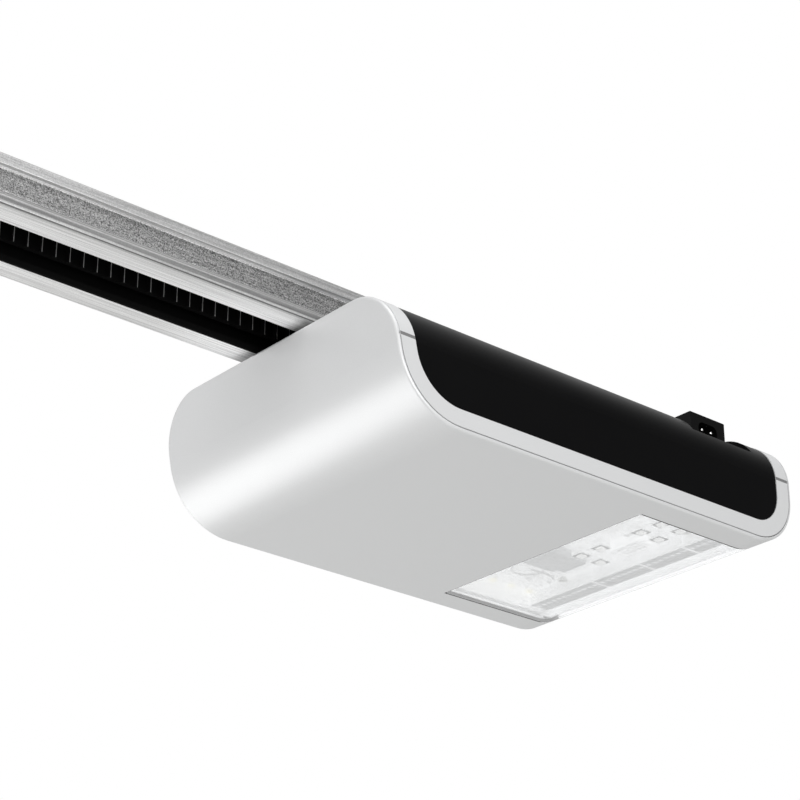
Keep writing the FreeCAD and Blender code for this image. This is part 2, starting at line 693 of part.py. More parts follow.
HANGER_X = (RAIL_FRONT + HEAD_FRONT) / 2
HANGER_LENGTH = 50.0
HANGER_RISE = 70.0


def rail_hanger():
    """Ceiling hanger at mid-rail: two bent straps that hook the rail's upper shoulders and meet above it."""
    straps = []
    sheet = 2.5
    outer = RAIL_WIDTH / 2 + 0.3
    waist = outer - RAIL_WAIST
    shoulder = RAIL_HEIGHT - SHOULDER_DROP
    top = RAIL_HEIGHT + 0.3
    x0 = HANGER_X - HANGER_LENGTH / 2
    for side in (-1, 1):
        points = [
            (waist, shoulder - 0.3),
            (waist, shoulder - 0.3 - sheet),
            (outer + sheet, shoulder - 0.3 - sheet),
            (outer + sheet, top + sheet),
            (12 + sheet, top + sheet),
            (12 + sheet, top + HANGER_RISE),
            (12, top + HANGER_RISE),
            (12, top),
            (outer, top),
            (outer, shoulder - 0.3),
        ]
        radii = [0, 0, 1.5, 1.5, 0, 0, 0, 0, 0, 0]
        straps.append(prism(points, radii, lambda u, w: V(x0, side * u, w), X * HANGER_LENGTH))
    spacer = box(x0 + 5, x0 + HANGER_LENGTH - 5, -12, 12, top, top + 3)
    body = fuse(straps + [spacer])
    holes = []
    for x in (HANGER_X - HANGER_HOLE_X / 2, HANGER_X + HANGER_HOLE_X / 2):
        holes.append((x, -20, top + HANGER_RISE - 12, 4.2, 40, Y))
    return bored(body, holes)


HANGER_HOLE_X = 26.0


def end_stops():
    """Rubber-faced stop blocks at both ends of the trolley's travel, held between the rail's lips."""
    stops = []
    for x in (FRONT_STOP_X, REAR_STOP_X):
        foot = box(x, x + STOP_LENGTH, -29, 29, RAIL_LIP + 0.2, 11)
        neck = box(x, x + STOP_LENGTH, -RAIL_SLOT / 2 + 0.15, RAIL_SLOT / 2 - 0.15, 0.4, RAIL_LIP + 0.2)
        stops.append(fuse([foot, neck]))
    return stops


# ---------------------------------------------------------------- gear motor
def gear_case():
    """Cast gear case bolted under the housing's top, open underneath."""
    case = outline_xy(CASE_X0, CASE_X1, CASE_Y0, CASE_Y1, 6, CASE_BOTTOM, CEILING - 0.3)
    wheel_room = cylinder(SHAFT_X, 0, CASE_BOTTOM - 1, WHEEL_R + 1.7, WHEEL_Z + 9 - CASE_BOTTOM + 1)
    worm_room = cylinder(SHAFT_X - 26, WORM_Y, WHEEL_Z, WORM_R + 1.5, CASE_X1 - SHAFT_X + 30, X)
    journal = cylinder(SHAFT_X - 33.5, WORM_Y, WHEEL_Z, 3 + RUNNING_FIT, 10, X)
    bearing_seat = cylinder(SHAFT_X, 0, WHEEL_Z + 8, BEARING_R, BEARING_WIDTH + 3)
    shaft_way = cylinder(SHAFT_X, 0, WHEEL_Z, 8, 60)
    case = cut(case, [wheel_room, worm_room, journal, bearing_seat, shaft_way])
    holes = [(x, y, CEILING - 14, 2.5, 20, Z) for x, y in case_screw_places()]
    holes += [(MOTOR_X0 - 9, y, z, 1.5, 10, X) for y, z in motor_screw_places()]
    holes += [(x, y, CASE_BOTTOM - 1, 2.0, 8, Z) for x, y in lid_screw_places()]
    return bored(case, holes)


def gear_lid():
    """Bottom lid of the gear case with the lower bearing's seat."""
    top = CASE_BOTTOM
    lid = outline_xy(CASE_X0, CASE_X1, CASE_Y0, CASE_Y1, 6, top - 4, top)
    boss = cylinder(SHAFT_X, 0, top - LID_THICKNESS, BEARING_R + 4, LID_THICKNESS)
    ribs = [box(CASE_X0 + 5, CASE_X1 - 5, -1.5, 1.5, top - 8, top - 3)]
    lid = fuse([lid, boss] + ribs)
    seat = cylinder(SHAFT_X, 0, top - BEARING_WIDTH, BEARING_R, BEARING_WIDTH + 1)
    return cut(lid, [seat] + [cylinder(x, y, top - 6, 2.1, 8) for x, y in lid_screw_places()])


def lid_screw_places():
    """Where the lid's screws enter the case."""
    return corners_of(68, 62, SHAFT_X + 3, 0)


def gear_screws():
    """Countersunk screws from the plate into the case, lid screws and the motor's screws."""
    sunk = []
    for x, y in case_screw_places():
        head = Part.makeCone(2.6, 5.1, PLATE_THICKNESS - 0.1, V(x, y, HOUSING_TOP))
        shank = cylinder(x, y, CEILING - 12, 2.5, HOUSING_TOP - CEILING + 12)
        hexagon_drive = cylinder(x, y, -2.0, 1.6, 3)
        sunk.append(fuse([head, shank]).cut(hexagon_drive))
    pans = [screw(x, y, CASE_BOTTOM - 4, 2.0, 3.8, 2.4, 10, up=-1) for x, y in lid_screw_places()]
    return sunk + pans + motor_screws()


def shaft_bearings():
    """Two shielded ball bearings, drawn as plain rings."""
    rings = []
    for z in (WHEEL_Z + 9, CASE_BOTTOM - BEARING_WIDTH):
        ring = cylinder(SHAFT_X, 0, z, BEARING_R, BEARING_WIDTH)
        ring = ring.cut(cylinder(SHAFT_X, 0, z - 1, SHAFT_R + RUNNING_FIT, BEARING_WIDTH + 2))
        shield = cylinder(SHAFT_X, 0, z - 0.01, BEARING_R - 2, 0.6).cut(cylinder(SHAFT_X, 0, z - 1, SHAFT_R + 2, 3))
        rings.append(ring.cut(shield))
    return rings


def output_shaft():
    """Vertical output shaft with a shoulder and a flat for the pulley."""
    z0 = CASE_BOTTOM - BEARING_WIDTH
    shaft = cylinder(SHAFT_X, 0, z0, SHAFT_R, BELT_Z1 + 3 - z0)
    collar = cylinder(SHAFT_X, 0, WHEEL_Z + WHEEL_FACE / 2, SHAFT_R + 1.5, 1.5)
    return fuse([shaft, collar])


def worm_wheel():
    """Bronze-coloured worm wheel with straight teeth."""
    z0 = WHEEL_Z - WHEEL_FACE / 2
    disc = cylinder(SHAFT_X, 0, z0, WHEEL_R, WHEEL_FACE)
    root = WHEEL_R - 4.0
    pitch = 2 * math.pi * WHEEL_R / WHEEL_TEETH
    gaps = []
    for i in range(WHEEL_TEETH):
        points = [(root, -pitch * 0.14), (WHEEL_R + 1, -pitch * 0.36), (WHEEL_R + 1, pitch * 0.36), (root, pitch * 0.14)]
        gap = prism(points, [0, 0, 0, 0], lambda u, w: V(u, w, z0 - 1), Z * (WHEEL_FACE + 2))
        gap.rotate(V(0, 0, 0), Z, i * 360 / WHEEL_TEETH)
        gap.translate(V(SHAFT_X, 0, 0))
        gaps.append(gap)
    wheel = cut(disc, gaps)
    webs = []
    for side in (z0 - 1, z0 + WHEEL_FACE - 3):
        webs.append(cylinder(SHAFT_X, 0, side, root - 4, 4).cut(cylinder(SHAFT_X, 0, side - 1, 12, 6)))
    return bored(cut(wheel, webs), [(SHAFT_X, 0, z0 - 1, SHAFT_R, WHEEL_FACE + 2, Z)])


ROTOR_R = 17.0
ENCODER_X = MOTOR_X1 + 9.0


def worm_shaft():
    """Motor shaft with the worm on its front end; the thread is a stack of rings."""
    points = [(SHAFT_X - 32, 0), (SHAFT_X - 32, 3), (SHAFT_X - 22, 3), (SHAFT_X - 22, WORM_R - 3.2)]
    pitch = 2 * math.pi * WHEEL_R / WHEEL_TEETH
    x = SHAFT_X - 20
    while x + pitch < SHAFT_X + 22:
        points += [(x, WORM_R - 3.2), (x + pitch * 0.25, WORM_R), (x + pitch * 0.45, WORM_R), (x + pitch * 0.7, WORM_R - 3.2)]
        x += pitch
    points += [(SHAFT_X + 24, WORM_R - 3.2), (SHAFT_X + 24, 4), (MOTOR_X1 - 4, 4), (MOTOR_X1 - 4, 3)]
    points += [(ENCODER_X + 3, 3), (ENCODER_X + 3, 0)]
    corners = [V(u, WORM_Y + w, WHEEL_Z) for u, w in points]
    face = Part.Face(Part.makePolygon(corners + [corners[0]]))
    return face.revolve(V(0, WORM_Y, WHEEL_Z), X, 360)


def motor_armature():
    """Laminated armature and commutator on the motor shaft."""
    start = MOTOR_X0 + 14
    core = cylinder(start, WORM_Y, WHEEL_Z, ROTOR_R, 34, X)
    slots = []
    for i in range(10):
        slot = box(start - 1, start + 35, WORM_Y + ROTOR_R - 6, WORM_Y + ROTOR_R + 1, WHEEL_Z - 1.2, WHEEL_Z + 1.2)
        slot.rotate(V(0, WORM_Y, WHEEL_Z), X, 36 * i)
        slots.append(slot)
    commutator = cylinder(start + 34, WORM_Y, WHEEL_Z, 8, 10, X)
    return bored(fuse([cut(core, slots), commutator]), [(start - 1, WORM_Y, WHEEL_Z, 4, 60, X)])


def encoder_disc():
    """Slotted speed disc behind the motor."""
    disc = cylinder(ENCODER_X, WORM_Y, WHEEL_Z, 12, 1.5, X)
    slots = []
    for i in range(12):
        slot = box(ENCODER_X - 1, ENCODER_X + 3, WORM_Y + 8, WORM_Y + 13, WHEEL_Z - 1, WHEEL_Z + 1)
        slot.rotate(V(0, WORM_Y, WHEEL_Z), X, 30 * i)
        slots.append(slot)
    return bored(cut(disc, slots), [(ENCODER_X - 1, WORM_Y, WHEEL_Z, 3, 4, X)])


def motor_can():
    """Steel motor can with a flange that bolts to the gear case."""
    can = cylinder(MOTOR_X0, WORM_Y, WHEEL_Z, MOTOR_R, MOTOR_LENGTH, X)
    room = cylinder(MOTOR_X0 + MOTOR_PLATE, WORM_Y, WHEEL_Z, MOTOR_R - 2, MOTOR_LENGTH, X)
    magnets = cylinder(MOTOR_X0 + 12, WORM_Y, WHEEL_Z, MOTOR_R - 2, 38, X)
    magnets = magnets.cut(cylinder(MOTOR_X0 + 11, WORM_Y, WHEEL_Z, ROTOR_R + 1.0, 40, X))
    gap = 5
    magnets = magnets.cut(box(MOTOR_X0, MOTOR_X1, WORM_Y - gap, WORM_Y + gap, WHEEL_Z - 30, WHEEL_Z + 30))
    shell = fuse([can.cut(room), magnets])
    holes = [(MOTOR_X0 - 1, WORM_Y, WHEEL_Z, 4 + RUNNING_FIT, MOTOR_PLATE + 2, X)]
    holes += [(MOTOR_X0 - 1, y, z, 1.55, MOTOR_PLATE + 2, X) for y, z in motor_screw_places()]
    return bored(shell, holes)


def motor_screw_places():
    """Two screws through the motor's front plate, in front of the magnets."""
    return [(WORM_Y - 12, WHEEL_Z + 12), (WORM_Y + 12, WHEEL_Z - 12)]


def motor_screws():
    """Screws that hold the motor to the gear case."""
    screws = []
    for y, z in motor_screw_places():
        head = cylinder(MOTOR_X0 + MOTOR_PLATE, y, z, 2.8, 2, X)
        shank = cylinder(MOTOR_X0 - 8, y, z, 1.5, 8 + MOTOR_PLATE, X)
        screws.append(fuse([head, shank]))
    return screws


def motor_end_cap():
    """Brush-holder cap that closes the can's rear end, with the encoder's housing."""
    plug = cylinder(MOTOR_X1 - 4, WORM_Y, WHEEL_Z, MOTOR_R - 2.1, 4, X)
    disc = cylinder(MOTOR_X1, WORM_Y, WHEEL_Z, MOTOR_R, 3, X)
    wall = cylinder(MOTOR_X1 + 3, WORM_Y, WHEEL_Z, 16, 14, X)
    room = cylinder(MOTOR_X1 + 3, WORM_Y, WHEEL_Z, 14, 12, X)
    body = fuse([plug, disc, wall.cut(room)])
    terminals = [box(MOTOR_X1 + 2, MOTOR_X1 + 9, WORM_Y - 22 + 38 * i, WORM_Y - 16 + 38 * i, WHEEL_Z - 1, WHEEL_Z)
                 for i in (0, 1)]
    body = fuse([body] + terminals)
    return bored(body, [(MOTOR_X1 - 5, WORM_Y, WHEEL_Z, 3 + RUNNING_FIT, 12, X)])


# ---------------------------------------------------------------- power supply and board
TOROID_X = 22.0
TOROID_Y = -58.0
TOROID_R = 35.0
TOROID_HOLE_R = 12.0
TOROID_HEIGHT = 30.0
TOROID_TOP = -17.0


def transformer():
    """Toroidal transformer: a wound ring with rounded shoulders."""
    z0 = TOROID_TOP - TOROID_HEIGHT
    points = [(TOROID_HOLE_R, z0), (TOROID_R, z0), (TOROID_R, TOROID_TOP), (TOROID_HOLE_R, TOROID_TOP)]
    wire = rounded_wire(points, [7, 9, 9, 7], lambda u, w: V(TOROID_X + u, TOROID_Y, w))
    return Part.Face(wire).revolve(V(TOROID_X, TOROID_Y, 0), Z, 360)


def transformer_mount():
    """Dished washers, spacer and centre bolt that hang the transformer from the housing's top."""
    z0 = TOROID_TOP - TOROID_HEIGHT
    upper = cylinder(TOROID_X, TOROID_Y, TOROID_TOP, 22, 1.5)
    spacer = cylinder(TOROID_X, TOROID_Y, TOROID_TOP, 7, CEILING - 0.2 - TOROID_TOP)
    bolt = cylinder(TOROID_X, TOROID_Y, z0 - 6, 3, CEILING - 0.2 - z0 + 6)
    lower = cylinder(TOROID_X, TOROID_Y, z0 - 1.5, 22, 1.5)
    nut = hexagon(TOROID_X, TOROID_Y, z0 - 6, 10.0, Z * 4.5, lambda a, b, c, u, w: V(a + u, b + w, c))
    return fuse([upper, spacer, bolt, lower, nut])


STANDOFFS = [
    (BOARD_X0 + 14, -64),
    (BOARD_X0 + 14, 64),
    (BOARD_X1 - 25, -58),
    (BOARD_X1 - 25, 58),
]
TACT_HEIGHT = 3.6
BUTTON_R = 1.75
BUTTON_TRAVEL = 0.6


def control_board():
    """Control board with its parts facing the window."""
    board = outline_xy(BOARD_X0, BOARD_X1, -BOARD_HALF_Y, BOARD_HALF_Y, 3, BOARD_FACE, BOARD_TOP)
    return bored(board, [(x, y, BOARD_FACE - 1, 1.6, 4, Z) for x, y in STANDOFFS])


def board_standoffs():
    """Four pillars from the housing's top, each with the board's screw in its foot."""
    posts = []
    for x, y in STANDOFFS:
        pillar = cylinder(x, y, BOARD_TOP, 4, CEILING - 0.2 - BOARD_TOP)
        stud = cylinder(x, y, BOARD_FACE, 1.55, BOARD_THICKNESS)
        head = cylinder(x, y, BOARD_FACE - 2, 2.9, 2)
        posts.append(fuse([pillar, stud, head]))
    return posts


def switch_bases():
    """Square bodies of the push buttons, each with a bore for its cap."""
    bases = []
    for x, y in BUTTONS:
        base = box(x - 3.1, x + 3.1, y - 3.1, y + 3.1, BOARD_FACE - TACT_HEIGHT, BOARD_FACE)
        bases.append(base.cut(cylinder(x, y, BOARD_FACE - TACT_HEIGHT - 1, BUTTON_R + RUNNING_FIT, TACT_HEIGHT + 0.6)))
    return bases


def button(x, y):
    """Square cap on a round plunger that slides in its switch."""
    top = BOARD_FACE - TACT_HEIGHT - BUTTON_TRAVEL - 0.2
    plunger = cylinder(x, y, BUTTON_FACE + 1, BUTTON_R, BOARD_FACE - 1.4 - BUTTON_FACE - 1)
    cap = outline_xy(x - 2.6, x + 2.6, y - 2.6, y + 2.6, 0.6, BUTTON_FACE, top)
    return fuse([cap, plunger])


TERMINAL_ROW_X = HEAD_REAR - 31.5
TERMINAL_DEPTH = 16.0


def terminal_strip():
    """A row of plug-in screw terminals along the board's rear edge."""
    blocks = []
    ends = [(-86, -74), (-72, -52), (-50, -12), (-10, 32), (34, 94)]
    z0 = BOARD_FACE - 9.0
    for y0, y1 in ends:
        block = box(TERMINAL_ROW_X - TERMINAL_DEPTH / 2, TERMINAL_ROW_X + TERMINAL_DEPTH / 2, y0, y1, z0, BOARD_FACE)
        ways = int((y1 - y0) / 5)
        step = (y1 - y0) / ways
        screws = [cylinder(TERMINAL_ROW_X - 2, y0 + step * (k + 0.5), z0 - 1, 1.5, 2.5) for k in range(ways)]
        blocks.append(cut(block, screws))
    return blocks


DISPLAY_Y = -22.0


def display_module():
    """Two-digit display between the buttons, each digit seven raised bars."""
    z0 = BOARD_FACE - 6.0
    x = BUTTON_ROW_2
    body = box(x - 8, x + 8, DISPLAY_Y - 13, DISPLAY_Y + 13, z0, BOARD_FACE)
    recess = box(x - 6.5, x + 6.5, DISPLAY_Y - 11.5, DISPLAY_Y + 11.5, z0 - 1, z0 + 0.6)
    return body.cut(recess)


def radio_module():
    """Shielded receiver module on the board, beside the buttons."""
    x = HEAD_REAR - 81.5
    can = box(x - 14, x + 14, 16, 43, BOARD_FACE - 6.5, BOARD_FACE)
    upper = [e for e in can.Edges if abs(e.CenterOfMass.z - (BOARD_FACE - 6.5)) < 0.01]
    return can.makeFillet(1.2, upper)


def courtesy_leds():
    """Light-emitting chips in two rows beside the window's front edge and end."""
    chips = []
    for i in range(9):
        y = -BOARD_HALF_Y + 14 + i * (2 * BOARD_HALF_Y - 28) / 8
        chips.append(box(BOARD_X0 + 2, BOARD_X0 + 5.5, y - 1.75, y + 1.75, BOARD_FACE - 1.4, BOARD_FACE))
    for i in range(4):
        x = BOARD_X0 + 16 + i * 17
        chips.append(box(x, x + 3.5, BOARD_HALF_Y - 8, BOARD_HALF_Y - 4.5, BOARD_FACE - 1.4, BOARD_FACE))
    return chips


# ---------------------------------------------------------------- mains inlet
SOCKET_WIDTH = 18.0
SOCKET_HEIGHT = 9.4
SOCKET_DEPTH = 12.0
PIN_SPACING = 8.6
SOCKET_Z = INLET_TOP - 10.2
PIN_RECESS = 0.5


def mains_inlet():
    """Two-pin appliance inlet that stands in the recess on the right-hand shoulder."""
    x0 = INLET_X - INLET_LENGTH / 2
    x1 = INLET_X + INLET_LENGTH / 2
    y1 = POCKET_BACK_Y
    body = box(x0, x1, INLET_FACE_Y, y1, POCKET_FLOOR, INLET_TOP)
    rim = [e for e in body.Edges if abs(e.CenterOfMass.z - INLET_TOP) < 0.01]
    body = body.makeFillet(1.0, rim)
    tail = box(INLET_X - 9.7, INLET_X + 9.7, y1 - 1, y1 + POCKET_WALL + 6, POCKET_FLOOR + 1.8, POCKET_FLOOR + 5.2)
    body = fuse([body, tail])
    half = SOCKET_WIDTH / 2
    low = SOCKET_Z - SOCKET_HEIGHT / 2
    points = [(-half, low), (half, low), (half, low + SOCKET_HEIGHT), (-half, low + SOCKET_HEIGHT)]
    socket = prism(points, [SOCKET_HEIGHT / 2 - 0.1] * 4,
                   lambda u, w: V(INLET_X + u, INLET_FACE_Y - 1, w), Y * (SOCKET_DEPTH + 1))
    return body.cut(socket)


def inlet_pins():
    """The inlet's two round contact pins."""
    pins = []
    for side in (-1, 1):
        x = INLET_X + side * PIN_SPACING / 2
        pins.append(cylinder(x, INLET_FACE_Y + PIN_RECESS, SOCKET_Z, 1.2, SOCKET_DEPTH - PIN_RECESS, Y))
    return pins


# ---------------------------------------------------------------- trolley, latch and door arm
TOP_PLATE_Z0 = RAIL_LIP + 0.7
TOP_PLATE_Z1 = 11.4
SHOE_Z0 = RAIL_SHEET + 0.3
UNDER_Z1 = -0.6
UNDER_Z0 = -7.0
UNDER_SETBACK = 32.0                # rear end of the carrier plate, short of the upper plate's end
LATCH_X = TROLLEY_X + 5.0
LATCH_R = 3.0
LEVER_X = LATCH_X - 14.0
LEVER_Z = -14.0
LEVER_GAUGE = 3.0
ARM_X = TROLLEY_X - 50.0
ARM_Z = -40.0
EAR_Y = ARM_THICKNESS / 2 + 0.4
EAR = 5.0


def trolley_body():
    """Trolley: a plate inside the rail, a neck through its slot and a carrier plate below with two pairs of ears."""
    half = TROLLEY_LENGTH / 2
    inner_half = RAIL_WIDTH / 2 - RAIL_SHEET - RAIL_WAIST - 0.8
    top = outline_xy(TROLLEY_X - half, TROLLEY_X + half, -inner_half, inner_half, 3, TOP_PLATE_Z0, TOP_PLATE_Z1)
    neck_half = RAIL_SLOT / 2 - 1.0
    rear = half - UNDER_SETBACK
    neck = outline_xy(TROLLEY_X - half + 10, TROLLEY_X + rear - 6, -neck_half, neck_half, 3, UNDER_Z0, TOP_PLATE_Z1)
    under = outline_xy(TROLLEY_X - half + 4, TROLLEY_X + rear, -TROLLEY_WIDTH / 2, TROLLEY_WIDTH / 2,
                       8, UNDER_Z0, UNDER_Z1)
    ears = []
    for side in (-1, 1):
        low = EAR_Y if side > 0 else -EAR_Y - EAR
        ears.append(box(ARM_X - 13, ARM_X + 13, low, low + EAR, ARM_Z, UNDER_Z0 + 1))
        ears.append(cylinder(ARM_X, low, ARM_Z, 13, EAR, Y))
    for side in (-1, 1):
        low = LEVER_Y if side > 0 else -LEVER_Y - EAR
        ears.append(box(LEVER_X - 7, LEVER_X + 5, low, low + EAR, LEVER_Z - 4, UNDER_Z0 + 1))
    collar = cylinder(LATCH_X, 0, UNDER_Z0 - 1.5, 7, 3)
    body = fuse([top, neck, under, collar] + ears)
    shoe_pockets = [box(x - 12.15, x + 12.15, y0, y1, TOP_PLATE_Z0 - 1, TOP_PLATE_Z0 + 2)
                    for x, y0, y1 in shoe_places()]
    body = cut(body, shoe_pockets)
    reach = EAR_Y + EAR + 1
    holes = [(ARM_X, -reach, ARM_Z, PIN_R, 2 * reach, Y)]
    holes += [(LEVER_X, -LEVER_Y - EAR - 1, LEVER_Z, 2.0, 2 * (LEVER_Y + EAR) + 2, Y)]
    holes += [(LATCH_X, 0, UNDER_Z0 - 5, LATCH_R + RUNNING_FIT, 40, Z)]
    return bored(body, holes)


LEVER_Y = 11.5


def shoe_places():
    """Where the sliding shoes sit: x and the two ends across the rail."""
    inner = RAIL_SLOT / 2 + RAIL_SHEET + 0.8
    outer = RAIL_WIDTH / 2 - RAIL_SHEET - RAIL_WAIST - 1.6
    places = []
    for x in (TROLLEY_X - TROLLEY_LENGTH / 2 + 18, TROLLEY_X + TROLLEY_LENGTH / 2 - 18):
        places.append((x, inner, outer))
        places.append((x, -outer, -inner))
    return places


def slider_shoes():
    """Four low-friction shoes that run on the rail's flanges."""
    shoes = []
    for x, y0, y1 in shoe_places():
        shoe = box(x - 12, x + 12, y0 + 0.15, y1 - 0.15, SHOE_Z0, TOP_PLATE_Z0 + 2)
        ends = [e for e in shoe.Edges if abs(e.CenterOfMass.z - SHOE_Z0) < 0.01 and abs(e.CenterOfMass.x - x) > 11]
        shoes.append(shoe.makeFillet(1.2, ends))
    return shoes


CLAMP_X0 = TROLLEY_X - 40.0
CLAMP_X1 = TROLLEY_X + 20.0


def belt_clamp():
    """Belt carrier on the trolley: a base the latch enters and two jaws either side of one belt strand."""
    tooth_room = BELT_INNER - 2.2
    base = outline_xy(CLAMP_X0, LATCH_X + 10, -BELT_INNER + 5, tooth_room - 0.2, 2, TOP_PLATE_Z1, BELT_Z0 - 0.6 + 3)
    low_jaw = box(CLAMP_X0, CLAMP_X1, tooth_room - 4, BELT_OUTER + 5, TOP_PLATE_Z1, BELT_Z0 - 0.3)
    inner_jaw = box(CLAMP_X0, CLAMP_X1, tooth_room - 4, tooth_room - 0.2, TOP_PLATE_Z1, BELT_Z1 + 1)
    outer_jaw = box(CLAMP_X0, CLAMP_X1, BELT_OUTER + 0.3, BELT_OUTER + 5, TOP_PLATE_Z1, BELT_Z1 + 1)
    cap = box(CLAMP_X0, CLAMP_X1, tooth_room - 4, BELT_OUTER + 5, BELT_Z1 + 0.4, BELT_Z1 + 3)
    body = fuse([base, low_jaw, inner_jaw, outer_jaw, cap])
    return bored(body, [(LATCH_X, 0, TOP_PLATE_Z1 - 1, LATCH_R + RUNNING_FIT, 20, Z)])


LATCH_TOP = BELT_Z0 + 1.0
LATCH_HEAD_Z = LEVER_Z - LEVER_GAUGE / 2 - 0.3


def latch_pin():
    """Spring-loaded pin that couples the trolley to the belt carrier; its head lies under the lever's fork."""
    pin = cylinder(LATCH_X, 0, LATCH_HEAD_Z, LATCH_R, LATCH_TOP - LATCH_HEAD_Z)
    head = cylinder(LATCH_X, 0, LATCH_HEAD_Z - 3, 8.5, 3)
    return fuse([pin, head])


def release_lever():
    """Fork-shaped release lever with an eye for the pull cord."""
    inner = LATCH_R + 1.2
    outer = LEVER_Y - 0.5
    z0 = LEVER_Z - LEVER_GAUGE / 2
    pieces = []
    for side in (-1, 1):
        low = inner if side > 0 else -outer
        high = outer if side > 0 else -inner
        pieces.append(box(LEVER_X, LATCH_X + 13, low, high, z0, z0 + LEVER_GAUGE))
    pieces.append(cylinder(LEVER_X, -outer, LEVER_Z, 3.6, 2 * outer, Y))
    pieces.append(outline_xy(LATCH_X + 10, LATCH_X + 32, -outer, outer, 6, z0, z0 + LEVER_GAUGE))
    body = fuse(pieces)
    holes = [(LEVER_X, -outer - 1, LEVER_Z, 2 + RUNNING_FIT, 2 * outer + 2, Y)]
    holes += [(LATCH_X + 24, 0, z0 - 1, 3.0, LEVER_GAUGE + 2, Z)]
    return bored(body, holes)


def trolley_pins():
    """The lever's pivot pin and the arm's clevis pin."""
    lever_reach = LEVER_Y + EAR
    lever_pin = cylinder(LEVER_X, -lever_reach, LEVER_Z, 2.0, 2 * lever_reach, Y)
    arm_reach = EAR_Y + EAR
    arm_pin = cylinder(ARM_X, -arm_reach, ARM_Z, PIN_R, 2 * arm_reach, Y)
    heads = [
        cylinder(ARM_X, -arm_reach - 2.5, ARM_Z, 6.5, 2.5, Y),
        cylinder(ARM_X, arm_reach, ARM_Z, 6.5, 2.0, Y),
    ]
    return [lever_pin, fuse([arm_pin] + heads)]


ARM_END_Z = ARM_Z - ARM_LENGTH


def door_arm():
    """Flat steel arm with a row of holes, hanging from the trolley's clevis."""
    half = ARM_WIDTH / 2
    z0 = ARM_END_Z - half
    z1 = ARM_Z + half
    points = [(ARM_X - half, z0), (ARM_X + half, z0), (ARM_X + half, z1), (ARM_X - half, z1)]
    arm = prism(points, [half - 0.1] * 4, lambda u, w: V(u, -ARM_THICKNESS / 2, w), Y * ARM_THICKNESS)
    holes = [(ARM_X, -5, ARM_Z, PIN_R + RUNNING_FIT, 10, Y)]
    holes += [(ARM_X, -5, ARM_END_Z, PIN_R, 10, Y)]
    step = 28.0
    count = int((ARM_LENGTH - 60) / step)
    for i in range(count):
        holes.append((ARM_X, -5, ARM_Z - 45 - i * step, 4.2, 10, Y))
    return bored(arm, holes)


BRACKET_DROP = 34.0
BRACKET_HOLE_X = 60.0
BRACKET_HOLE_Y = 30.0


def door_bracket():
    """Foot bracket that bolts to the door: a plate and two ears either side of the arm."""
    z0 = ARM_END_Z - BRACKET_DROP
    plate = outline_xy(ARM_X - 42, ARM_X + 42, -27, 27, 6, z0, z0 + 3)
    ears = []
    for side in (-1, 1):
        low = EAR_Y if side > 0 else -EAR_Y - 3
        ears.append(box(ARM_X - 12, ARM_X + 12, low, low + 3, z0 + 1, ARM_END_Z))
        ears.append(cylinder(ARM_X, low, ARM_END_Z, 12, 3, Y))
    body = fuse([plate] + ears)
    holes = [(ARM_X, -10, ARM_END_Z, PIN_R + RUNNING_FIT, 20, Y)]
    holes += [(x, y, z0 - 1, 3.2, 6, Z) for x, y in corners_of(BRACKET_HOLE_X, BRACKET_HOLE_Y, ARM_X)]
    return bored(body, holes)


def bracket_pin():
    """Pin pressed in the arm's lower end, with heads outside the bracket's ears."""
    reach = EAR_Y + 3 + 0.3
    pin = cylinder(ARM_X, -reach, ARM_END_Z, PIN_R, 2 * reach, Y)
    heads = [cylinder(ARM_X, -reach - 2, ARM_END_Z, 6.5, 2, Y), cylinder(ARM_X, reach, ARM_END_Z, 6.5, 2, Y)]
    return fuse([pin] + heads)


# ---------------------------------------------------------------- build
NODES = {
    "upper_housing": upper_housing,
    "lower_cover": lower_cover,
    "cover_screws": cover_screws,
    "light_lens": light_lens,
    "chassis_plate": chassis_plate,
    "rail_clamps": rail_clamps,
    "clamp_screws": clamp_screws,
    "rail": rail,
    "belt": belt,
    "drive_pulley": drive_pulley,
    "idler_pulley": idler_pulley,
    "idler_axle": idler_axle,
    "tension_yoke": tension_yoke,
    "tension_screw": tension_screw,
    "tension_nut": tension_nut,
    "tension_spring": tension_spring,
    "rail_head_plate": rail_head_plate,
    "rail_bolts": rail_bolts,
    "lintel_bracket": lintel_bracket,
    "lintel_bolt": lintel_bolt,
    "rail_hanger": rail_hanger,
    "end_stops": end_stops,
    "gear_case": gear_case,
    "gear_lid": gear_lid,
    "gear_screws": gear_screws,
    "shaft_bearings": shaft_bearings,
    "output_shaft": output_shaft,
    "worm_wheel": worm_wheel,
    "worm_shaft": worm_shaft,
    "motor_armature": motor_armature,
    "encoder_disc": encoder_disc,
    "motor_can": motor_can,
    "motor_end_cap": motor_end_cap,
    "transformer": transformer,
    "transformer_mount": transformer_mount,
    "control_board": control_board,
    "board_standoffs": board_standoffs,
    "switch_bases": switch_bases,
    "terminal_strip": terminal_strip,
    "display_module": display_module,
    "radio_module": radio_module,
    "courtesy_leds": courtesy_leds,
    "mains_inlet": mains_inlet,
    "inlet_pins": inlet_pins,
    "trolley_body": trolley_body,
    "slider_shoes": slider_shoes,
    "belt_clamp": belt_clamp,
    "latch_pin": latch_pin,
    "release_lever": release_lever,
    "trolley_pins": trolley_pins,
    "door_arm": door_arm,
    "door_bracket": door_bracket,
    "bracket_pin": bracket_pin,
}


def export(name, made):
    """Writes a node's solids to its STEP file."""
    solids = []
    for shape in made if isinstance(made, list) else [made]:
        solids += shape.Solids
    shape = solids[0] if len(solids) == 1 else Part.makeCompound(solids)
    if not shape.isValid():
        print("not valid:", name)
    shape.exportStep("parts/" + name + ".step")
    print(name, len(solids), round(shape.Volume))


os.makedirs("parts", exist_ok=True)
for node, maker in NODES.items():
    export(node, maker())
for number, (x, y) in enumerate(BUTTONS, start=1):
    export("button_" + str(number), button(x, y))
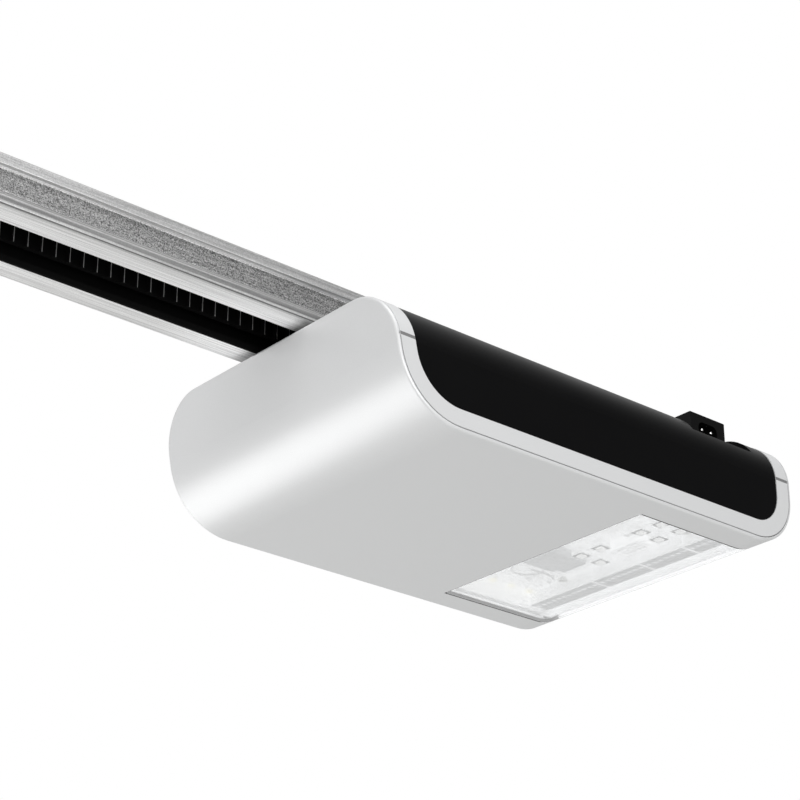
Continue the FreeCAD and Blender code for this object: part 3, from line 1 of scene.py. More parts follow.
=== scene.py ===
# %% [markdown]
# # A garage door opener, finished in Blender
#
# The opener's pieces arrive as a fixed frame of CAD parts: they keep their shape and place. What this
# lesson adds is what a CAD model leaves out: the finish of every surface, and small shapes that only the
# eye needs, such as the belt's teeth and the parts on the control board. All lengths are in metres.

# %% Load the frame
import json
import math
import random

import bmesh
import bpy
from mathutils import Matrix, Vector


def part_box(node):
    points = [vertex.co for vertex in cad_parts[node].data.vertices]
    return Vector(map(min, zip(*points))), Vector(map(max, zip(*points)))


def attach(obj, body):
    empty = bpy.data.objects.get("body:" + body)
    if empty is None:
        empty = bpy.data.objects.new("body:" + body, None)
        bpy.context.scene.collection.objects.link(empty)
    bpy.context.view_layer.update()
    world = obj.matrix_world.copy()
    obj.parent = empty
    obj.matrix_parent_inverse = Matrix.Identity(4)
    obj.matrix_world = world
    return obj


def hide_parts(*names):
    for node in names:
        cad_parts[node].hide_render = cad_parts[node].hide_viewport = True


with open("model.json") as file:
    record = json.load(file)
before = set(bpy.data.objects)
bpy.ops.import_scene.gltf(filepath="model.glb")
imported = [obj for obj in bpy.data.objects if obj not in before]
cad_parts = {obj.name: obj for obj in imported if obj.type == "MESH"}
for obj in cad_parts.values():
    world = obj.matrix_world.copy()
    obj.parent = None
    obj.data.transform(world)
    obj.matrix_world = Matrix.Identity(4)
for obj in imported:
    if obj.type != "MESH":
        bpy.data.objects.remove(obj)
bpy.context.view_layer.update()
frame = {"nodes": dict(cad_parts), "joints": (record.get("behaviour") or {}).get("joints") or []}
NODES = frame["nodes"]
JOINTS = {joint["name"]: joint for joint in frame["joints"]}
MM = 0.001

# %% [markdown]
# ## Camera
#
# The opener hangs from a ceiling, so people look up at it. The camera stands low in front of the head and
# to its right, and looks up along the rail. A long lens keeps the head's edges close to parallel, as in a
# catalogue.

# %% Camera
LENS_MM = 103.56
CAMERA_PLACE = Vector((-0.92687, -1.00188, -0.63142))
CAMERA_AIM = Vector((0.5884, 0.6865, 0.4273))

camera_data = bpy.data.cameras.new("camera")
camera_data.sensor_width = 36
camera_data.lens = LENS_MM
camera_data.clip_end = 60
camera = bpy.data.objects.new("camera", camera_data)
camera.location = CAMERA_PLACE
camera.rotation_euler = CAMERA_AIM.to_track_quat("-Z", "Y").to_euler()
bpy.context.scene.collection.objects.link(camera)
bpy.context.scene.camera = camera
print("camera", [round(value, 3) for value in camera.location])

# %% [markdown]
# ## Studio
#
# A product like this is lit by large, soft, white surfaces. The world is a white room with one darker
# corner, behind and to the right, which the polished side of the rail mirrors, so the steel reads as
# steel. A long strip light in front draws the highlight along the head's rounded lower corner. The
# Standard view transform keeps white paper white.

# %% Room
ROOM_LIGHT = 0.73
ROOM_DARK = 0.16
DARK_CORNER = Vector((0.60, -0.70, 0.40)).normalized()

scene = bpy.context.scene
scene.view_settings.view_transform = "Standard"
world = bpy.data.worlds.new("studio_room")
scene.world = world
world.use_nodes = True
room = world.node_tree
room_background = room.nodes["Background"]
room_background.inputs["Color"].default_value = (1, 1, 1, 1)
room_direction = room.nodes.new("ShaderNodeTexCoord")
toward_corner = room.nodes.new("ShaderNodeVectorMath")
toward_corner.operation = "DOT_PRODUCT"
toward_corner.inputs[1].default_value = DARK_CORNER
room.links.new(room_direction.outputs["Generated"], toward_corner.inputs[0])
corner_fade = room.nodes.new("ShaderNodeMapRange")
corner_fade.interpolation_type = "SMOOTHSTEP"
corner_fade.inputs["From Min"].default_value = 0.45
corner_fade.inputs["From Max"].default_value = 0.95
corner_fade.inputs["To Min"].default_value = ROOM_LIGHT
corner_fade.inputs["To Max"].default_value = ROOM_DARK
room.links.new(toward_corner.outputs["Value"], corner_fade.inputs["Value"])
light_path = room.nodes.new("ShaderNodeLightPath")
seen_or_lit = room.nodes.new("ShaderNodeMix")
seen_or_lit.data_type = "FLOAT"
seen_or_lit.inputs["B"].default_value = 1.0
room.links.new(light_path.outputs["Is Camera Ray"], seen_or_lit.inputs["Factor"])
room.links.new(corner_fade.outputs["Result"], seen_or_lit.inputs["A"])
room.links.new(seen_or_lit.outputs["Result"], room_background.inputs["Strength"])
print("room:", ROOM_LIGHT, "with a corner at", ROOM_DARK)


# %% Lights and floor
FLOOR_Z = -2.1


def soft_light(name, place, target, width, height, power):
    """A rectangular light aimed at a point. It lights the object and isn't seen itself."""
    data = bpy.data.lights.new(name, "AREA")
    data.shape = "RECTANGLE"
    data.size = width
    data.size_y = height
    data.energy = power
    light = bpy.data.objects.new(name, data)
    light.location = place
    light.rotation_euler = (Vector(target) - Vector(place)).to_track_quat("-Z", "Y").to_euler()
    light.visible_camera = False
    scene.collection.objects.link(light)
    return light


HEAD = (0.0, 0.0, -0.04)
soft_light("front_strip", (-0.66, 1.0, -0.82), HEAD, 1.3, 0.8, 8.5)
soft_light("right_fill", (-0.5, -1.6, -0.3), HEAD, 1.4, 0.9, 18)
soft_light("ceiling_soft", (-0.6, -0.9, 1.7), (-0.4, 0, 0), 3.0, 1.2, 22)

bpy.ops.mesh.primitive_plane_add(size=30, location=(0, 0, FLOOR_Z))
floor = bpy.context.object
floor.name = "floor"
floor_paint = bpy.data.materials.new("floor_paint")
floor_paint.use_nodes = True
floor_paint.node_tree.nodes["Principled BSDF"].inputs["Base Color"].default_value = (0.88, 0.88, 0.87, 1)
floor_paint.node_tree.nodes["Principled BSDF"].inputs["Roughness"].default_value = 0.9
floor.data.materials.append(floor_paint)
print("floor at", FLOOR_Z)

# %% [markdown]
# ## Shared surface effects
#
# Real surfaces are never one flat value. A few effects are used by many finishes, so each is a node group
# with named inputs: the fine grain of moulded plastic and cast metal, the zinc spangle of coated sheet,
# the long streaks that rolls leave on a profile, soft handling marks, which change only how rough a
# surface is, and the brighter line that wear leaves on an edge. Patterns are placed by Object
# coordinates, so they stay fixed to each piece.


# %% Node helpers
def new_group(name, inputs, outputs):
    """An empty shader group with float inputs {name: default} and float outputs."""
    group = bpy.data.node_groups.new(name, "ShaderNodeTree")
    for title, default in inputs.items():
        socket = group.interface.new_socket(title, in_out="INPUT", socket_type="NodeSocketFloat")
        socket.default_value = default
    for title in outputs:
        group.interface.new_socket(title, in_out="OUTPUT", socket_type="NodeSocketFloat")
    return group, group.nodes.new("NodeGroupInput").outputs, group.nodes.new("NodeGroupOutput").inputs


def connect(tree, source, socket):
    """Sets a socket from another socket or from a plain value."""
    if isinstance(source, bpy.types.NodeSocket):
        tree.links.new(source, socket)
    else:
        socket.default_value = source


def maths(tree, operation, *operands):
    """The result of a maths node on sockets or numbers."""
    node = tree.nodes.new("ShaderNodeMath")
    node.operation = operation
    for operand, socket in zip(operands, node.inputs):
        connect(tree, operand, socket)
    return node.outputs[0]


def textured(tree, kind, vector, output, **inputs):
    """The result of a texture node placed by a vector."""
    node = tree.nodes.new("ShaderNodeTex" + kind)
    tree.links.new(vector, node.inputs["Vector"])
    for name, value in inputs.items():
        connect(tree, value, node.inputs[name])
    return node.outputs[output]


def object_place(tree, centre=(0, 0, 0), scale=(1, 1, 1)):
    """Object coordinates, measured from a centre and stretched."""
    coordinates = tree.nodes.new("ShaderNodeTexCoord")
    mapping = tree.nodes.new("ShaderNodeMapping")
    mapping.inputs["Location"].default_value = [-c * s for c, s in zip(centre, scale)]
    mapping.inputs["Scale"].default_value = scale
    tree.links.new(coordinates.outputs["Object"], mapping.inputs["Vector"])
    return mapping.outputs["Vector"]


def inside_box(tree, low, high):
    """1 where a point of the piece is inside a box, and 0 outside."""
    centre = [(a + b) / 2 for a, b in zip(low, high)]
    distance = tree.nodes.new("ShaderNodeVectorMath")
    distance.operation = "ABSOLUTE"
    tree.links.new(object_place(tree, centre), distance.inputs[0])
    sides = tree.nodes.new("ShaderNodeSeparateXYZ")
    tree.links.new(distance.outputs[0], sides.inputs["Vector"])
    checks = [maths(tree, "LESS_THAN", side, (b - a) / 2) for side, a, b in zip(sides.outputs, low, high)]
    return maths(tree, "MULTIPLY", maths(tree, "MULTIPLY", checks[0], checks[1]), checks[2])


def zones(tree, value, full, stops):
    """A grey that runs through (distance in mm, grey) stops as a length grows from 0 to full."""
    ramp = tree.nodes.new("ShaderNodeValToRGB")
    elements = ramp.color_ramp.elements
    while len(elements) < len(stops):
        elements.new(0.5)
    for element, (distance, grey) in zip(elements, stops):
        element.position = distance * MM / full
        element.color = (grey, grey, grey, 1)
    tree.links.new(maths(tree, "DIVIDE", value, full), ramp.inputs["Fac"])
    return ramp.outputs["Color"]


def around_zero(tree, value, amount):
    """A pattern from 0 to 1, turned into a change of up to half the amount either way."""
    return maths(tree, "MULTIPLY", maths(tree, "SUBTRACT", value, 0.5), amount)


print("node helpers ready")

# %% Grain and handling marks
grain, grain_in, grain_out = new_group("fine_grain", {"Size": 0.0006}, ["Pattern"])
grain_scale = maths(grain, "DIVIDE", 1.0, grain_in["Size"])
grain_noise = textured(grain, "Noise", object_place(grain), "Fac", Scale=grain_scale, Detail=2.0, Roughness=0.6)
grain.links.new(grain_noise, grain_out["Pattern"])

MARKS_INPUTS = {"Size": 0.05, "Base": 0.4, "Change": 0.1}
marks, marks_in, marks_out = new_group("handling_marks", MARKS_INPUTS, ["Roughness"])
marks_scale = maths(marks, "DIVIDE", 1.0, marks_in["Size"])
marks_noise = textured(marks, "Noise", object_place(marks), "Fac",
                       Scale=marks_scale, Detail=4.0, Distortion=0.4)
marks_change = around_zero(marks, marks_noise, marks_in["Change"])
marks.links.new(maths(marks, "ADD", marks_change, marks_in["Base"]), marks_out["Roughness"])
print("groups:", grain.name, marks.name)

# %% Zinc spangle and rolling streaks
spangle, spangle_in, spangle_out = new_group("zinc_spangle", {"Size": 0.005}, ["Pattern"])
spangle_scale = maths(spangle, "DIVIDE", 1.0, spangle_in["Size"])
spangle_cells = textured(spangle, "Voronoi", object_place(spangle), "Color", Scale=spangle_scale)
spangle_grey = spangle.nodes.new("ShaderNodeSeparateColor")
spangle.links.new(spangle_cells, spangle_grey.inputs["Color"])
spangle.links.new(spangle_grey.outputs["Red"], spangle_out["Pattern"])

streaks, streaks_in, streaks_out = new_group("rolling_streaks", {"Width": 0.0012}, ["Pattern"])
streaks_scale = maths(streaks, "DIVIDE", 1.0, streaks_in["Width"])
streaks_place = object_place(streaks, scale=(0.012, 1, 1))
streaks_noise = textured(streaks, "Noise", streaks_place, "Fac", Scale=streaks_scale, Detail=3.0, Roughness=0.6)
streaks.links.new(streaks_noise, streaks_out["Pattern"])
print("groups:", spangle.name, streaks.name)

# %% Edge wear
wear, wear_in, wear_out = new_group("edge_wear", {"Radius": 0.0006, "Amount": 1.0}, ["Mask"])
wear_bevel = wear.nodes.new("ShaderNodeBevel")
wear_bevel.samples = 4
wear.links.new(wear_in["Radius"], wear_bevel.inputs["Radius"])
wear_normal = wear.nodes.new("ShaderNodeNewGeometry")
wear_dot = wear.nodes.new("ShaderNodeVectorMath")
wear_dot.operation = "DOT_PRODUCT"
wear.links.new(wear_bevel.outputs["Normal"], wear_dot.inputs[0])
wear.links.new(wear_normal.outputs["Normal"], wear_dot.inputs[1])
wear_edge = maths(wear, "MULTIPLY", maths(wear, "SUBTRACT", 1.0, wear_dot.outputs["Value"]), 6.0)
wear_breakup = textured(wear, "Noise", object_place(wear), "Fac", Scale=400.0, Detail=3.0)
wear_mask = maths(wear, "MULTIPLY", maths(wear, "MULTIPLY", wear_edge, wear_breakup), wear_in["Amount"])
wear_limit = wear.nodes.new("ShaderNodeClamp")
wear.links.new(wear_mask, wear_limit.inputs["Value"])
wear.links.new(wear_limit.outputs["Result"], wear_out["Mask"])
print("group:", wear.name)


# %% [markdown]
# ## Finishes
#
# Most finishes are one recipe with different values: a base colour that the grain darkens and lightens a
# little, a roughness with handling marks, and a bump from the grain. The recipe is a function, and its
# extra inputs add spangle, streaks or worn edges where the real material has them.


# %% The common recipe
def use_group(tree, group, **values):
    """A shared effect placed in a material with its own values; gives its first output."""
    node = tree.nodes.new("ShaderNodeGroup")
    node.node_tree = group
    for name, value in values.items():
        node.inputs[name].default_value = value
    return node.outputs[0]


def shades(tree, pattern, dark, light, low=0.3, high=0.7):
    """A colour that runs from dark to light as a pattern rises."""
    ramp = tree.nodes.new("ShaderNodeValToRGB")
    ramp.color_ramp.elements[0].position = low
    ramp.color_ramp.elements[1].position = high
    ramp.color_ramp.elements[0].color = (*dark, 1)
    ramp.color_ramp.elements[1].color = (*light, 1)
    tree.links.new(pattern, ramp.inputs["Fac"])
    return ramp.outputs["Color"]


def blend_colours(tree, factor, first, second, mode="MIX"):
    """Two colours mixed by a factor."""
    mix = tree.nodes.new("ShaderNodeMix")
    mix.data_type = "RGBA"
    mix.blend_type = mode
    connect(tree, factor, mix.inputs[0])
    connect(tree, first, mix.inputs[6])
    connect(tree, second, mix.inputs[7])
    return mix.outputs[2]


def scaled(colour, factor):
    """A colour made lighter or darker."""
    return [min(1.0, channel * factor) for channel in colour]


def finish(name, colour, roughness, metallic=0.0, grain_size=0.0006, depth=0.25, tone=0.06, change=0.1,
           coat=0.0, zinc=0.0, worn=0.0, worn_colour=(0.6, 0.6, 0.6), shine=0.5, glow=0.0):
    """A procedural finish whose colour and roughness vary over the surface."""
    material = bpy.data.materials.new(name)
    material.use_nodes = True
    tree = material.node_tree
    shader = tree.nodes["Principled BSDF"]
    shader.inputs["Metallic"].default_value = metallic
    shader.inputs["Coat Weight"].default_value = coat
    pattern = use_group(tree, grain, Size=grain_size)
    tint = shades(tree, pattern, scaled(colour, 1 - tone), scaled(colour, 1 + tone))
    if zinc:
        spangled = shades(tree, use_group(tree, spangle, Size=0.004), [1 - zinc] * 3, [1.0] * 3, 0.0, 1.0)
        tint = blend_colours(tree, 1.0, tint, spangled, "MULTIPLY")
    if worn:
        tint = blend_colours(tree, use_group(tree, wear, Amount=worn), tint, (*worn_colour, 1))
    bump = tree.nodes.new("ShaderNodeBump")
    bump.inputs["Strength"].default_value = depth
    bump.inputs["Distance"].default_value = grain_size * 0.3
    tree.links.new(pattern, bump.inputs["Height"])
    tree.links.new(bump.outputs["Normal"], shader.inputs["Normal"])
    shader.inputs["Specular IOR Level"].default_value = shine
    shader.inputs["Emission Strength"].default_value = glow
    colour_shader(material, tint, glow)
    tree.links.new(use_group(tree, marks, Base=roughness, Change=change), shader.inputs["Roughness"])
    return material


def colour_shader(material, tint, glow=0.0):
    """Joins a colour to the surface, and also to its painted glow when it has one."""
    shader = material.node_tree.nodes["Principled BSDF"]
    material.node_tree.links.new(tint, shader.inputs["Base Color"])
    if glow:
        material.node_tree.links.new(tint, shader.inputs["Emission Color"])


def dress(material, *names):
    """Gives a finish to CAD nodes or new pieces by name."""
    for name in names:
        piece = NODES.get(name) or bpy.data.objects[name]
        if piece.material_slots:
            piece.material_slots[0].material = material
        else:
            piece.data.materials.append(material)


print("recipe ready")

# %% [markdown]
# ### Head casing
#
# The lower cover is silver-grey: a pigment with fine metal flakes under a satin surface, so it is a
# little metallic and its highlight is wide. The upper housing is a near-black moulding with a fine
# texture and a soft sheen.

# %% Casing finishes
GROOVE_DEPTH = 0.5 * MM
GROOVE_TOP = -14 * MM
OPENING_PAINTED_GLOW = 0.45
WINDOW_HALF = 91.8 * MM
SLIT = 0.55 * MM
SLIT_DEPTH = 0.4 * MM
RIM = 0.4 * MM

silver_cover = finish("silver_cover", (0.66, 0.665, 0.67), 0.40, metallic=0.2, grain_size=0.0005, depth=0.06,
                      tone=0.025, change=0.04)
black_housing = finish("black_housing", (0.0016, 0.0016, 0.0018), 0.38, grain_size=0.0007, depth=0.12, tone=0.2,
                       worn=0.03, worn_colour=(0.03, 0.03, 0.03), shine=0.12)
inlet_black = finish("inlet_black", (0.002, 0.002, 0.002), 0.5, grain_size=0.0009, depth=0.3, tone=0.2,
                     shine=0.15)

# Painted shade: a dark grey line is painted on the floor of the groove beside the band,
# and a near-black painted shadow in the slit round the window.
cover_low, cover_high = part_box("lower_cover")
lens_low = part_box("light_lens")[0]
board_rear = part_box("control_board")[1].x + 4 * MM
cover_tree = silver_cover.node_tree
cover_tint = cover_tree.nodes["Principled BSDF"].inputs["Base Color"].links[0].from_socket
cover_place = cover_tree.nodes.new("ShaderNodeSeparateXYZ")
cover_tree.links.new(object_place(cover_tree), cover_place.inputs["Vector"])
cover_facing = cover_tree.nodes.new("ShaderNodeSeparateXYZ")
cover_tree.links.new(cover_tree.nodes.new("ShaderNodeNewGeometry").outputs["True Normal"],
                     cover_facing.inputs["Vector"])
from_side = maths(cover_tree, "SUBTRACT", cover_high.y, maths(cover_tree, "ABSOLUTE", cover_place.outputs["Y"]))
in_groove = maths(cover_tree, "MULTIPLY", maths(cover_tree, "GREATER_THAN", from_side, 0.06 * MM),
                  maths(cover_tree, "LESS_THAN", from_side, GROOVE_DEPTH + 0.05 * MM))
facing = maths(cover_tree, "ABSOLUTE", cover_facing.outputs["Y"])
square_on = maths(cover_tree, "GREATER_THAN", facing, 0.995)
below_seam = maths(cover_tree, "LESS_THAN", cover_place.outputs["Z"], GROOVE_TOP)
groove_painted_shade = maths(cover_tree, "MULTIPLY", maths(cover_tree, "MULTIPLY", in_groove, square_on), below_seam)
slit_painted_shadow = inside_box(cover_tree, (lens_low.x - SLIT, -WINDOW_HALF - SLIT, cover_low.z - SLIT),
                       (1, WINDOW_HALF + SLIT, cover_low.z + SLIT_DEPTH))
# Painted shade in the groove, then painted shadow in the slit.
cover_tint = blend_colours(cover_tree, groove_painted_shade, cover_tint, (0.20, 0.20, 0.20, 1))
cover_tint = blend_colours(cover_tree, slit_painted_shadow, cover_tint, (0.02, 0.02, 0.02, 1))
colour_shader(silver_cover, cover_tint)

# Painted glow: the walls of the window's opening emit light, standing in for light from the board behind the
# window.
opening_glow_mask = inside_box(cover_tree, (lens_low.x, -WINDOW_HALF - SLIT, cover_low.z + SLIT_DEPTH),
                      (board_rear, WINDOW_HALF + SLIT, cover_low.z + 20 * MM))
cover_shader = cover_tree.nodes["Principled BSDF"]
cover_shader.inputs["Emission Strength"].default_value = OPENING_PAINTED_GLOW
cover_tree.links.new(blend_colours(cover_tree, opening_glow_mask, (0, 0, 0, 1), (1, 1, 1, 1)),
                     cover_shader.inputs["Emission Color"])
dress(silver_cover, "lower_cover")
dress(black_housing, "upper_housing")
dress(inlet_black, "mains_inlet")
print("casing:", silver_cover.name, black_housing.name, inlet_black.name)

# %% [markdown]
# ### Frosted window
#
# The window is a milky plastic that lets the board show through. Glass needs many light bounces to look
# right, so the milkiness is made by Alpha: a mostly clear sheet over the board that turns solid white
# towards the rear edge, where the light tray behind it ends. That solid part has a painted glow, and a
# thin near-black rim round the edge is a painted shadow.

# %% Window finish
WINDOW_CLEAR = 0.50
WINDOW_SOLID = 0.97
WINDOW_PAINTED_GLOW = 0.30
board_low, board_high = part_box("control_board")

window = finish("frosted_window", (0.76, 0.765, 0.77), 0.22, grain_size=0.0004, depth=0.05, tone=0.01,
                change=0.05, coat=0.2, glow=WINDOW_PAINTED_GLOW)
window_tree = window.node_tree
window_place = window_tree.nodes.new("ShaderNodeSeparateXYZ")
window_tree.links.new(object_place(window_tree), window_place.inputs["Vector"])
window_fade = window_tree.nodes.new("ShaderNodeMapRange")
window_fade.interpolation_type = "SMOOTHSTEP"
window_fade.inputs["From Min"].default_value = board_high.x - 0.004
window_fade.inputs["From Max"].default_value = board_high.x + 0.004
window_fade.inputs["To Min"].default_value = WINDOW_CLEAR
window_fade.inputs["To Max"].default_value = WINDOW_SOLID
window_tree.links.new(window_place.outputs["X"], window_fade.inputs["Value"])
# Painted shadow: a thin opaque near-black rim round the window's edge stands in for the shadow gap between window
# and cover.
window_rim_shadow = maths(window_tree, "SUBTRACT", 1.0, inside_box(
    window_tree, (lens_low.x + RIM, -WINDOW_HALF + RIM, -1), (1, WINDOW_HALF - RIM, 1)))
window_tint = window_tree.nodes["Principled BSDF"].inputs["Base Color"].links[0].from_socket
colour_shader(window, blend_colours(window_tree, window_rim_shadow, window_tint, (0.02, 0.02, 0.02, 1)))
# Painted glow: the solid rear part of the window emits light, standing in for light inside the head.
window_share = maths(window_tree, "DIVIDE", window_fade.outputs["Result"], WINDOW_SOLID)
window_glow_share = maths(window_tree, "SUBTRACT", window_share, WINDOW_CLEAR / WINDOW_SOLID)
window_tree.links.new(blend_colours(window_tree, window_glow_share, (0, 0, 0, 1), (1, 1, 1, 1)),
                      window_tree.nodes["Principled BSDF"].inputs["Emission Color"])
window_alpha = maths(window_tree, "MAXIMUM", window_fade.outputs["Result"], window_rim_shadow)
window_tree.links.new(window_alpha, window_tree.nodes["Principled BSDF"].inputs["Alpha"])
dress(window, "light_lens")
print("window: alpha", WINDOW_CLEAR, "to", WINDOW_SOLID, "near x", round(board_high.x, 4))

# %% [markdown]
# ### Rail
#
# The rail is zinc-coated strip, rolled to shape. Its flat web keeps the coarse sparkle of the zinc, where
# each crystal mirrors the room a little differently, and the rolls leave long streaks. The light and shade
# of the profile are painted into the colour: painted highlights along the bends and the underside, dark
# painted lines beside them, and near-black painted shade on the inside of the channel. So the colour is
# read from three things: how high a point lies on the side, how far from the middle it lies underneath,
# and whether it faces inwards.

# %% Rail finish
rail_low, rail_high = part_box("rail")
RAIL_TALL = rail_high.z - rail_low.z
RAIL_HALF = rail_high.y
# Each pair is a distance in millimetres and the grey there.
# The greys are the zinc's tone with light and shade painted in: the brightest stops are painted highlights at the
# bends and the darkest are painted shade; underneath, the bright middle and the darker outer edge are painted
# reflection.
SIDE_GREYS_AND_SHEEN = [(0.0, 0.10), (1.0, 0.16), (1.4, 0.96), (2.2, 0.90), (3.0, 0.42), (4.6, 0.40), (6.0, 0.62),
              (7.2, 0.38), (8.5, 0.72), (9.0, 0.20), (9.7, 0.44), (23.2, 0.44), (24.0, 0.98), (24.5, 0.45),
              (25.0, 1.0), (25.8, 0.76), (30.0, 0.70), (32.5, 0.36)]
SIDE_SPECKLE = [(0.0, 0.1), (8.6, 0.1), (9.5, 0.6), (23.5, 0.6), (24.5, 0.1), (32.5, 0.15)]
UNDER_GREYS_AND_SHEEN = [(18.9, 0.80), (19.6, 0.97), (28.0, 0.95), (33.5, 0.86), (35.2, 0.74), (36.2, 0.35)]
SPECKLE_CONTRAST = 8.0

rail_zinc = bpy.data.materials.new("rail_zinc")
rail_zinc.use_nodes = True
rail_tree = rail_zinc.node_tree
rail_shader = rail_tree.nodes["Principled BSDF"]
rail_shader.inputs["Metallic"].default_value = 0.85
rail_place = rail_tree.nodes.new("ShaderNodeSeparateXYZ")
rail_tree.links.new(object_place(rail_tree, (0, 0, rail_low.z)), rail_place.inputs["Vector"])
rail_facing = rail_tree.nodes.new("ShaderNodeSeparateXYZ")
rail_tree.links.new(rail_tree.nodes.new("ShaderNodeNewGeometry").outputs["True Normal"],
                    rail_facing.inputs["Vector"])
height, across = rail_place.outputs["Z"], rail_place.outputs["Y"]

speckle_place = object_place(rail_tree, scale=(0.8, 1, 1))
speckle = textured(rail_tree, "Noise", speckle_place, "Fac", Scale=1700.0, Detail=2.0, Roughness=0.7)
rail_streaks = use_group(rail_tree, streaks, Width=0.0012)
side_tint = zones(rail_tree, height, RAIL_TALL, SIDE_GREYS_AND_SHEEN)
under_tint = zones(rail_tree, maths(rail_tree, "ABSOLUTE", across), RAIL_HALF, UNDER_GREYS_AND_SHEEN)
faces_down = maths(rail_tree, "LESS_THAN", rail_facing.outputs["Z"], -0.6)
rail_tint = blend_colours(rail_tree, faces_down, side_tint, under_tint)
streak_tint = shades(rail_tree, rail_streaks, (0.72, 0.72, 0.72), (1.0, 1.0, 1.0), 0.35, 0.6)
rail_tint = blend_colours(rail_tree, 1.0, rail_tint, streak_tint, "MULTIPLY")
speckle_zones = zones(rail_tree, height, RAIL_TALL, SIDE_SPECKLE)
speckle_amount = maths(rail_tree, "MULTIPLY", speckle_zones, SPECKLE_CONTRAST)
speckle_change = maths(rail_tree, "MULTIPLY", maths(rail_tree, "SUBTRACT", speckle, 0.5), speckle_amount)
speckle_factor = maths(rail_tree, "ADD", speckle_change, 1.0)
speckle_grey = rail_tree.nodes.new("ShaderNodeCombineColor")
for channel in speckle_grey.inputs:
    rail_tree.links.new(speckle_factor, channel)
rail_tint = blend_colours(rail_tree, 1.0, rail_tint, speckle_grey.outputs["Color"], "MULTIPLY")
outwards = maths(rail_tree, "MULTIPLY", across, rail_facing.outputs["Y"])
faces_in = maths(rail_tree, "LESS_THAN", outwards, -0.5 * MM)
faces_up = maths(rail_tree, "GREATER_THAN", rail_facing.outputs["Z"], 0.5)
floor_inside = maths(rail_tree, "MULTIPLY", faces_up, maths(rail_tree, "LESS_THAN", height, RAIL_TALL / 2))
roof_inside = maths(rail_tree, "MULTIPLY", faces_down, maths(rail_tree, "GREATER_THAN", height, RAIL_TALL / 2))
within = maths(rail_tree, "LESS_THAN", maths(rail_tree, "ABSOLUTE", across), RAIL_HALF - 3.2 * MM)
facing_in = maths(rail_tree, "MAXIMUM", floor_inside, roof_inside)
# Painted shade: faces inside the channel get a near-black colour and a higher roughness.
painted_inside_shade = maths(rail_tree, "MAXIMUM", faces_in, maths(rail_tree, "MULTIPLY", facing_in, within))
rail_tint = blend_colours(rail_tree, painted_inside_shade, rail_tint, (0.006, 0.006, 0.006, 1))
rail_tree.links.new(rail_tint, rail_shader.inputs["Base Color"])
rail_rough = maths(rail_tree, "ADD", around_zero(rail_tree, speckle, 0.25), 0.42)
rail_tree.links.new(maths(rail_tree, "MAXIMUM", rail_rough, maths(rail_tree, "MULTIPLY", painted_inside_shade, 0.8)),
                    rail_shader.inputs["Roughness"])
rail_bump = rail_tree.nodes.new("ShaderNodeBump")
rail_bump.inputs["Strength"].default_value = 0.4
rail_bump.inputs["Distance"].default_value = 0.0003
rail_tree.links.new(speckle, rail_bump.inputs["Height"])
rail_tree.links.new(rail_bump.outputs["Normal"], rail_shader.inputs["Normal"])
dress(rail_zinc, "rail")
print("rail:", rail_zinc.name, "height", round(RAIL_TALL, 4))

# %% [markdown]
# ### Steel, castings and turned parts
#
# Pressed brackets keep the coarse crystals of hot-dip zinc. Screws are bright zinc, which is smoother.
# Castings have a coarse, dull skin. Turned shafts and the worm are smooth, with a fine grain.

# %% Metal finishes
zinc_sheet = finish("zinc_sheet", (0.62, 0.63, 0.65), 0.38, metallic=0.9, depth=0.12, zinc=0.35, change=0.2,
                    worn=0.5, worn_colour=(0.85, 0.85, 0.86))
zinc_screw = finish("zinc_screw", (0.60, 0.60, 0.58), 0.30, metallic=1.0, grain_size=0.0003, depth=0.1,
                    change=0.15, worn=0.5, worn_colour=(0.85, 0.85, 0.84))
turned_steel = finish("turned_steel", (0.55, 0.55, 0.56), 0.25, metallic=1.0, grain_size=0.0003, depth=0.15,
                      change=0.12)
cast_alloy = finish("cast_alloy", (0.46, 0.46, 0.47), 0.52, metallic=0.85, grain_size=0.0011, depth=0.6,
                    tone=0.12, worn=0.6, worn_colour=(0.72, 0.72, 0.72))
ground_steel = finish("ground_steel", (0.72, 0.72, 0.73), 0.16, metallic=1.0, grain_size=0.0002, depth=0.06)
spring_steel = finish("spring_steel", (0.40, 0.40, 0.42), 0.28, metallic=1.0, grain_size=0.0003, depth=0.1)
cut_bronze = finish("cut_bronze", (0.62, 0.40, 0.17), 0.30, metallic=1.0, grain_size=0.0004, depth=0.2,
                    tone=0.1, worn=0.5, worn_colour=(0.85, 0.62, 0.35))
plated_can = finish("plated_can", (0.50, 0.50, 0.52), 0.3, metallic=1.0, grain_size=0.0005, depth=0.1, zinc=0.1)
dress(zinc_sheet, "chassis_plate", "tension_yoke", "rail_head_plate", "lintel_bracket", "rail_hanger",
      "door_arm", "door_bracket")
dress(zinc_screw, "cover_screws", "clamp_screws", "rail_bolts", "tension_screw", "tension_nut", "lintel_bolt",
      "gear_screws", "transformer_mount")
dress(turned_steel, "idler_axle", "output_shaft", "worm_shaft", "latch_pin", "trolley_pins", "bracket_pin")
dress(cast_alloy, "rail_clamps", "gear_case", "gear_lid")
dress(ground_steel, "shaft_bearings")
dress(spring_steel, "tension_spring")
dress(cut_bronze, "worm_wheel")
dress(plated_can, "motor_can")
print("metals: 8 finishes")

# %% [markdown]
# ### Plastics
#
# Load-bearing parts such as the trolley are filled with glass fibre, which leaves a dull, slightly
# mottled skin. The release lever is red so that it is found in the dark.

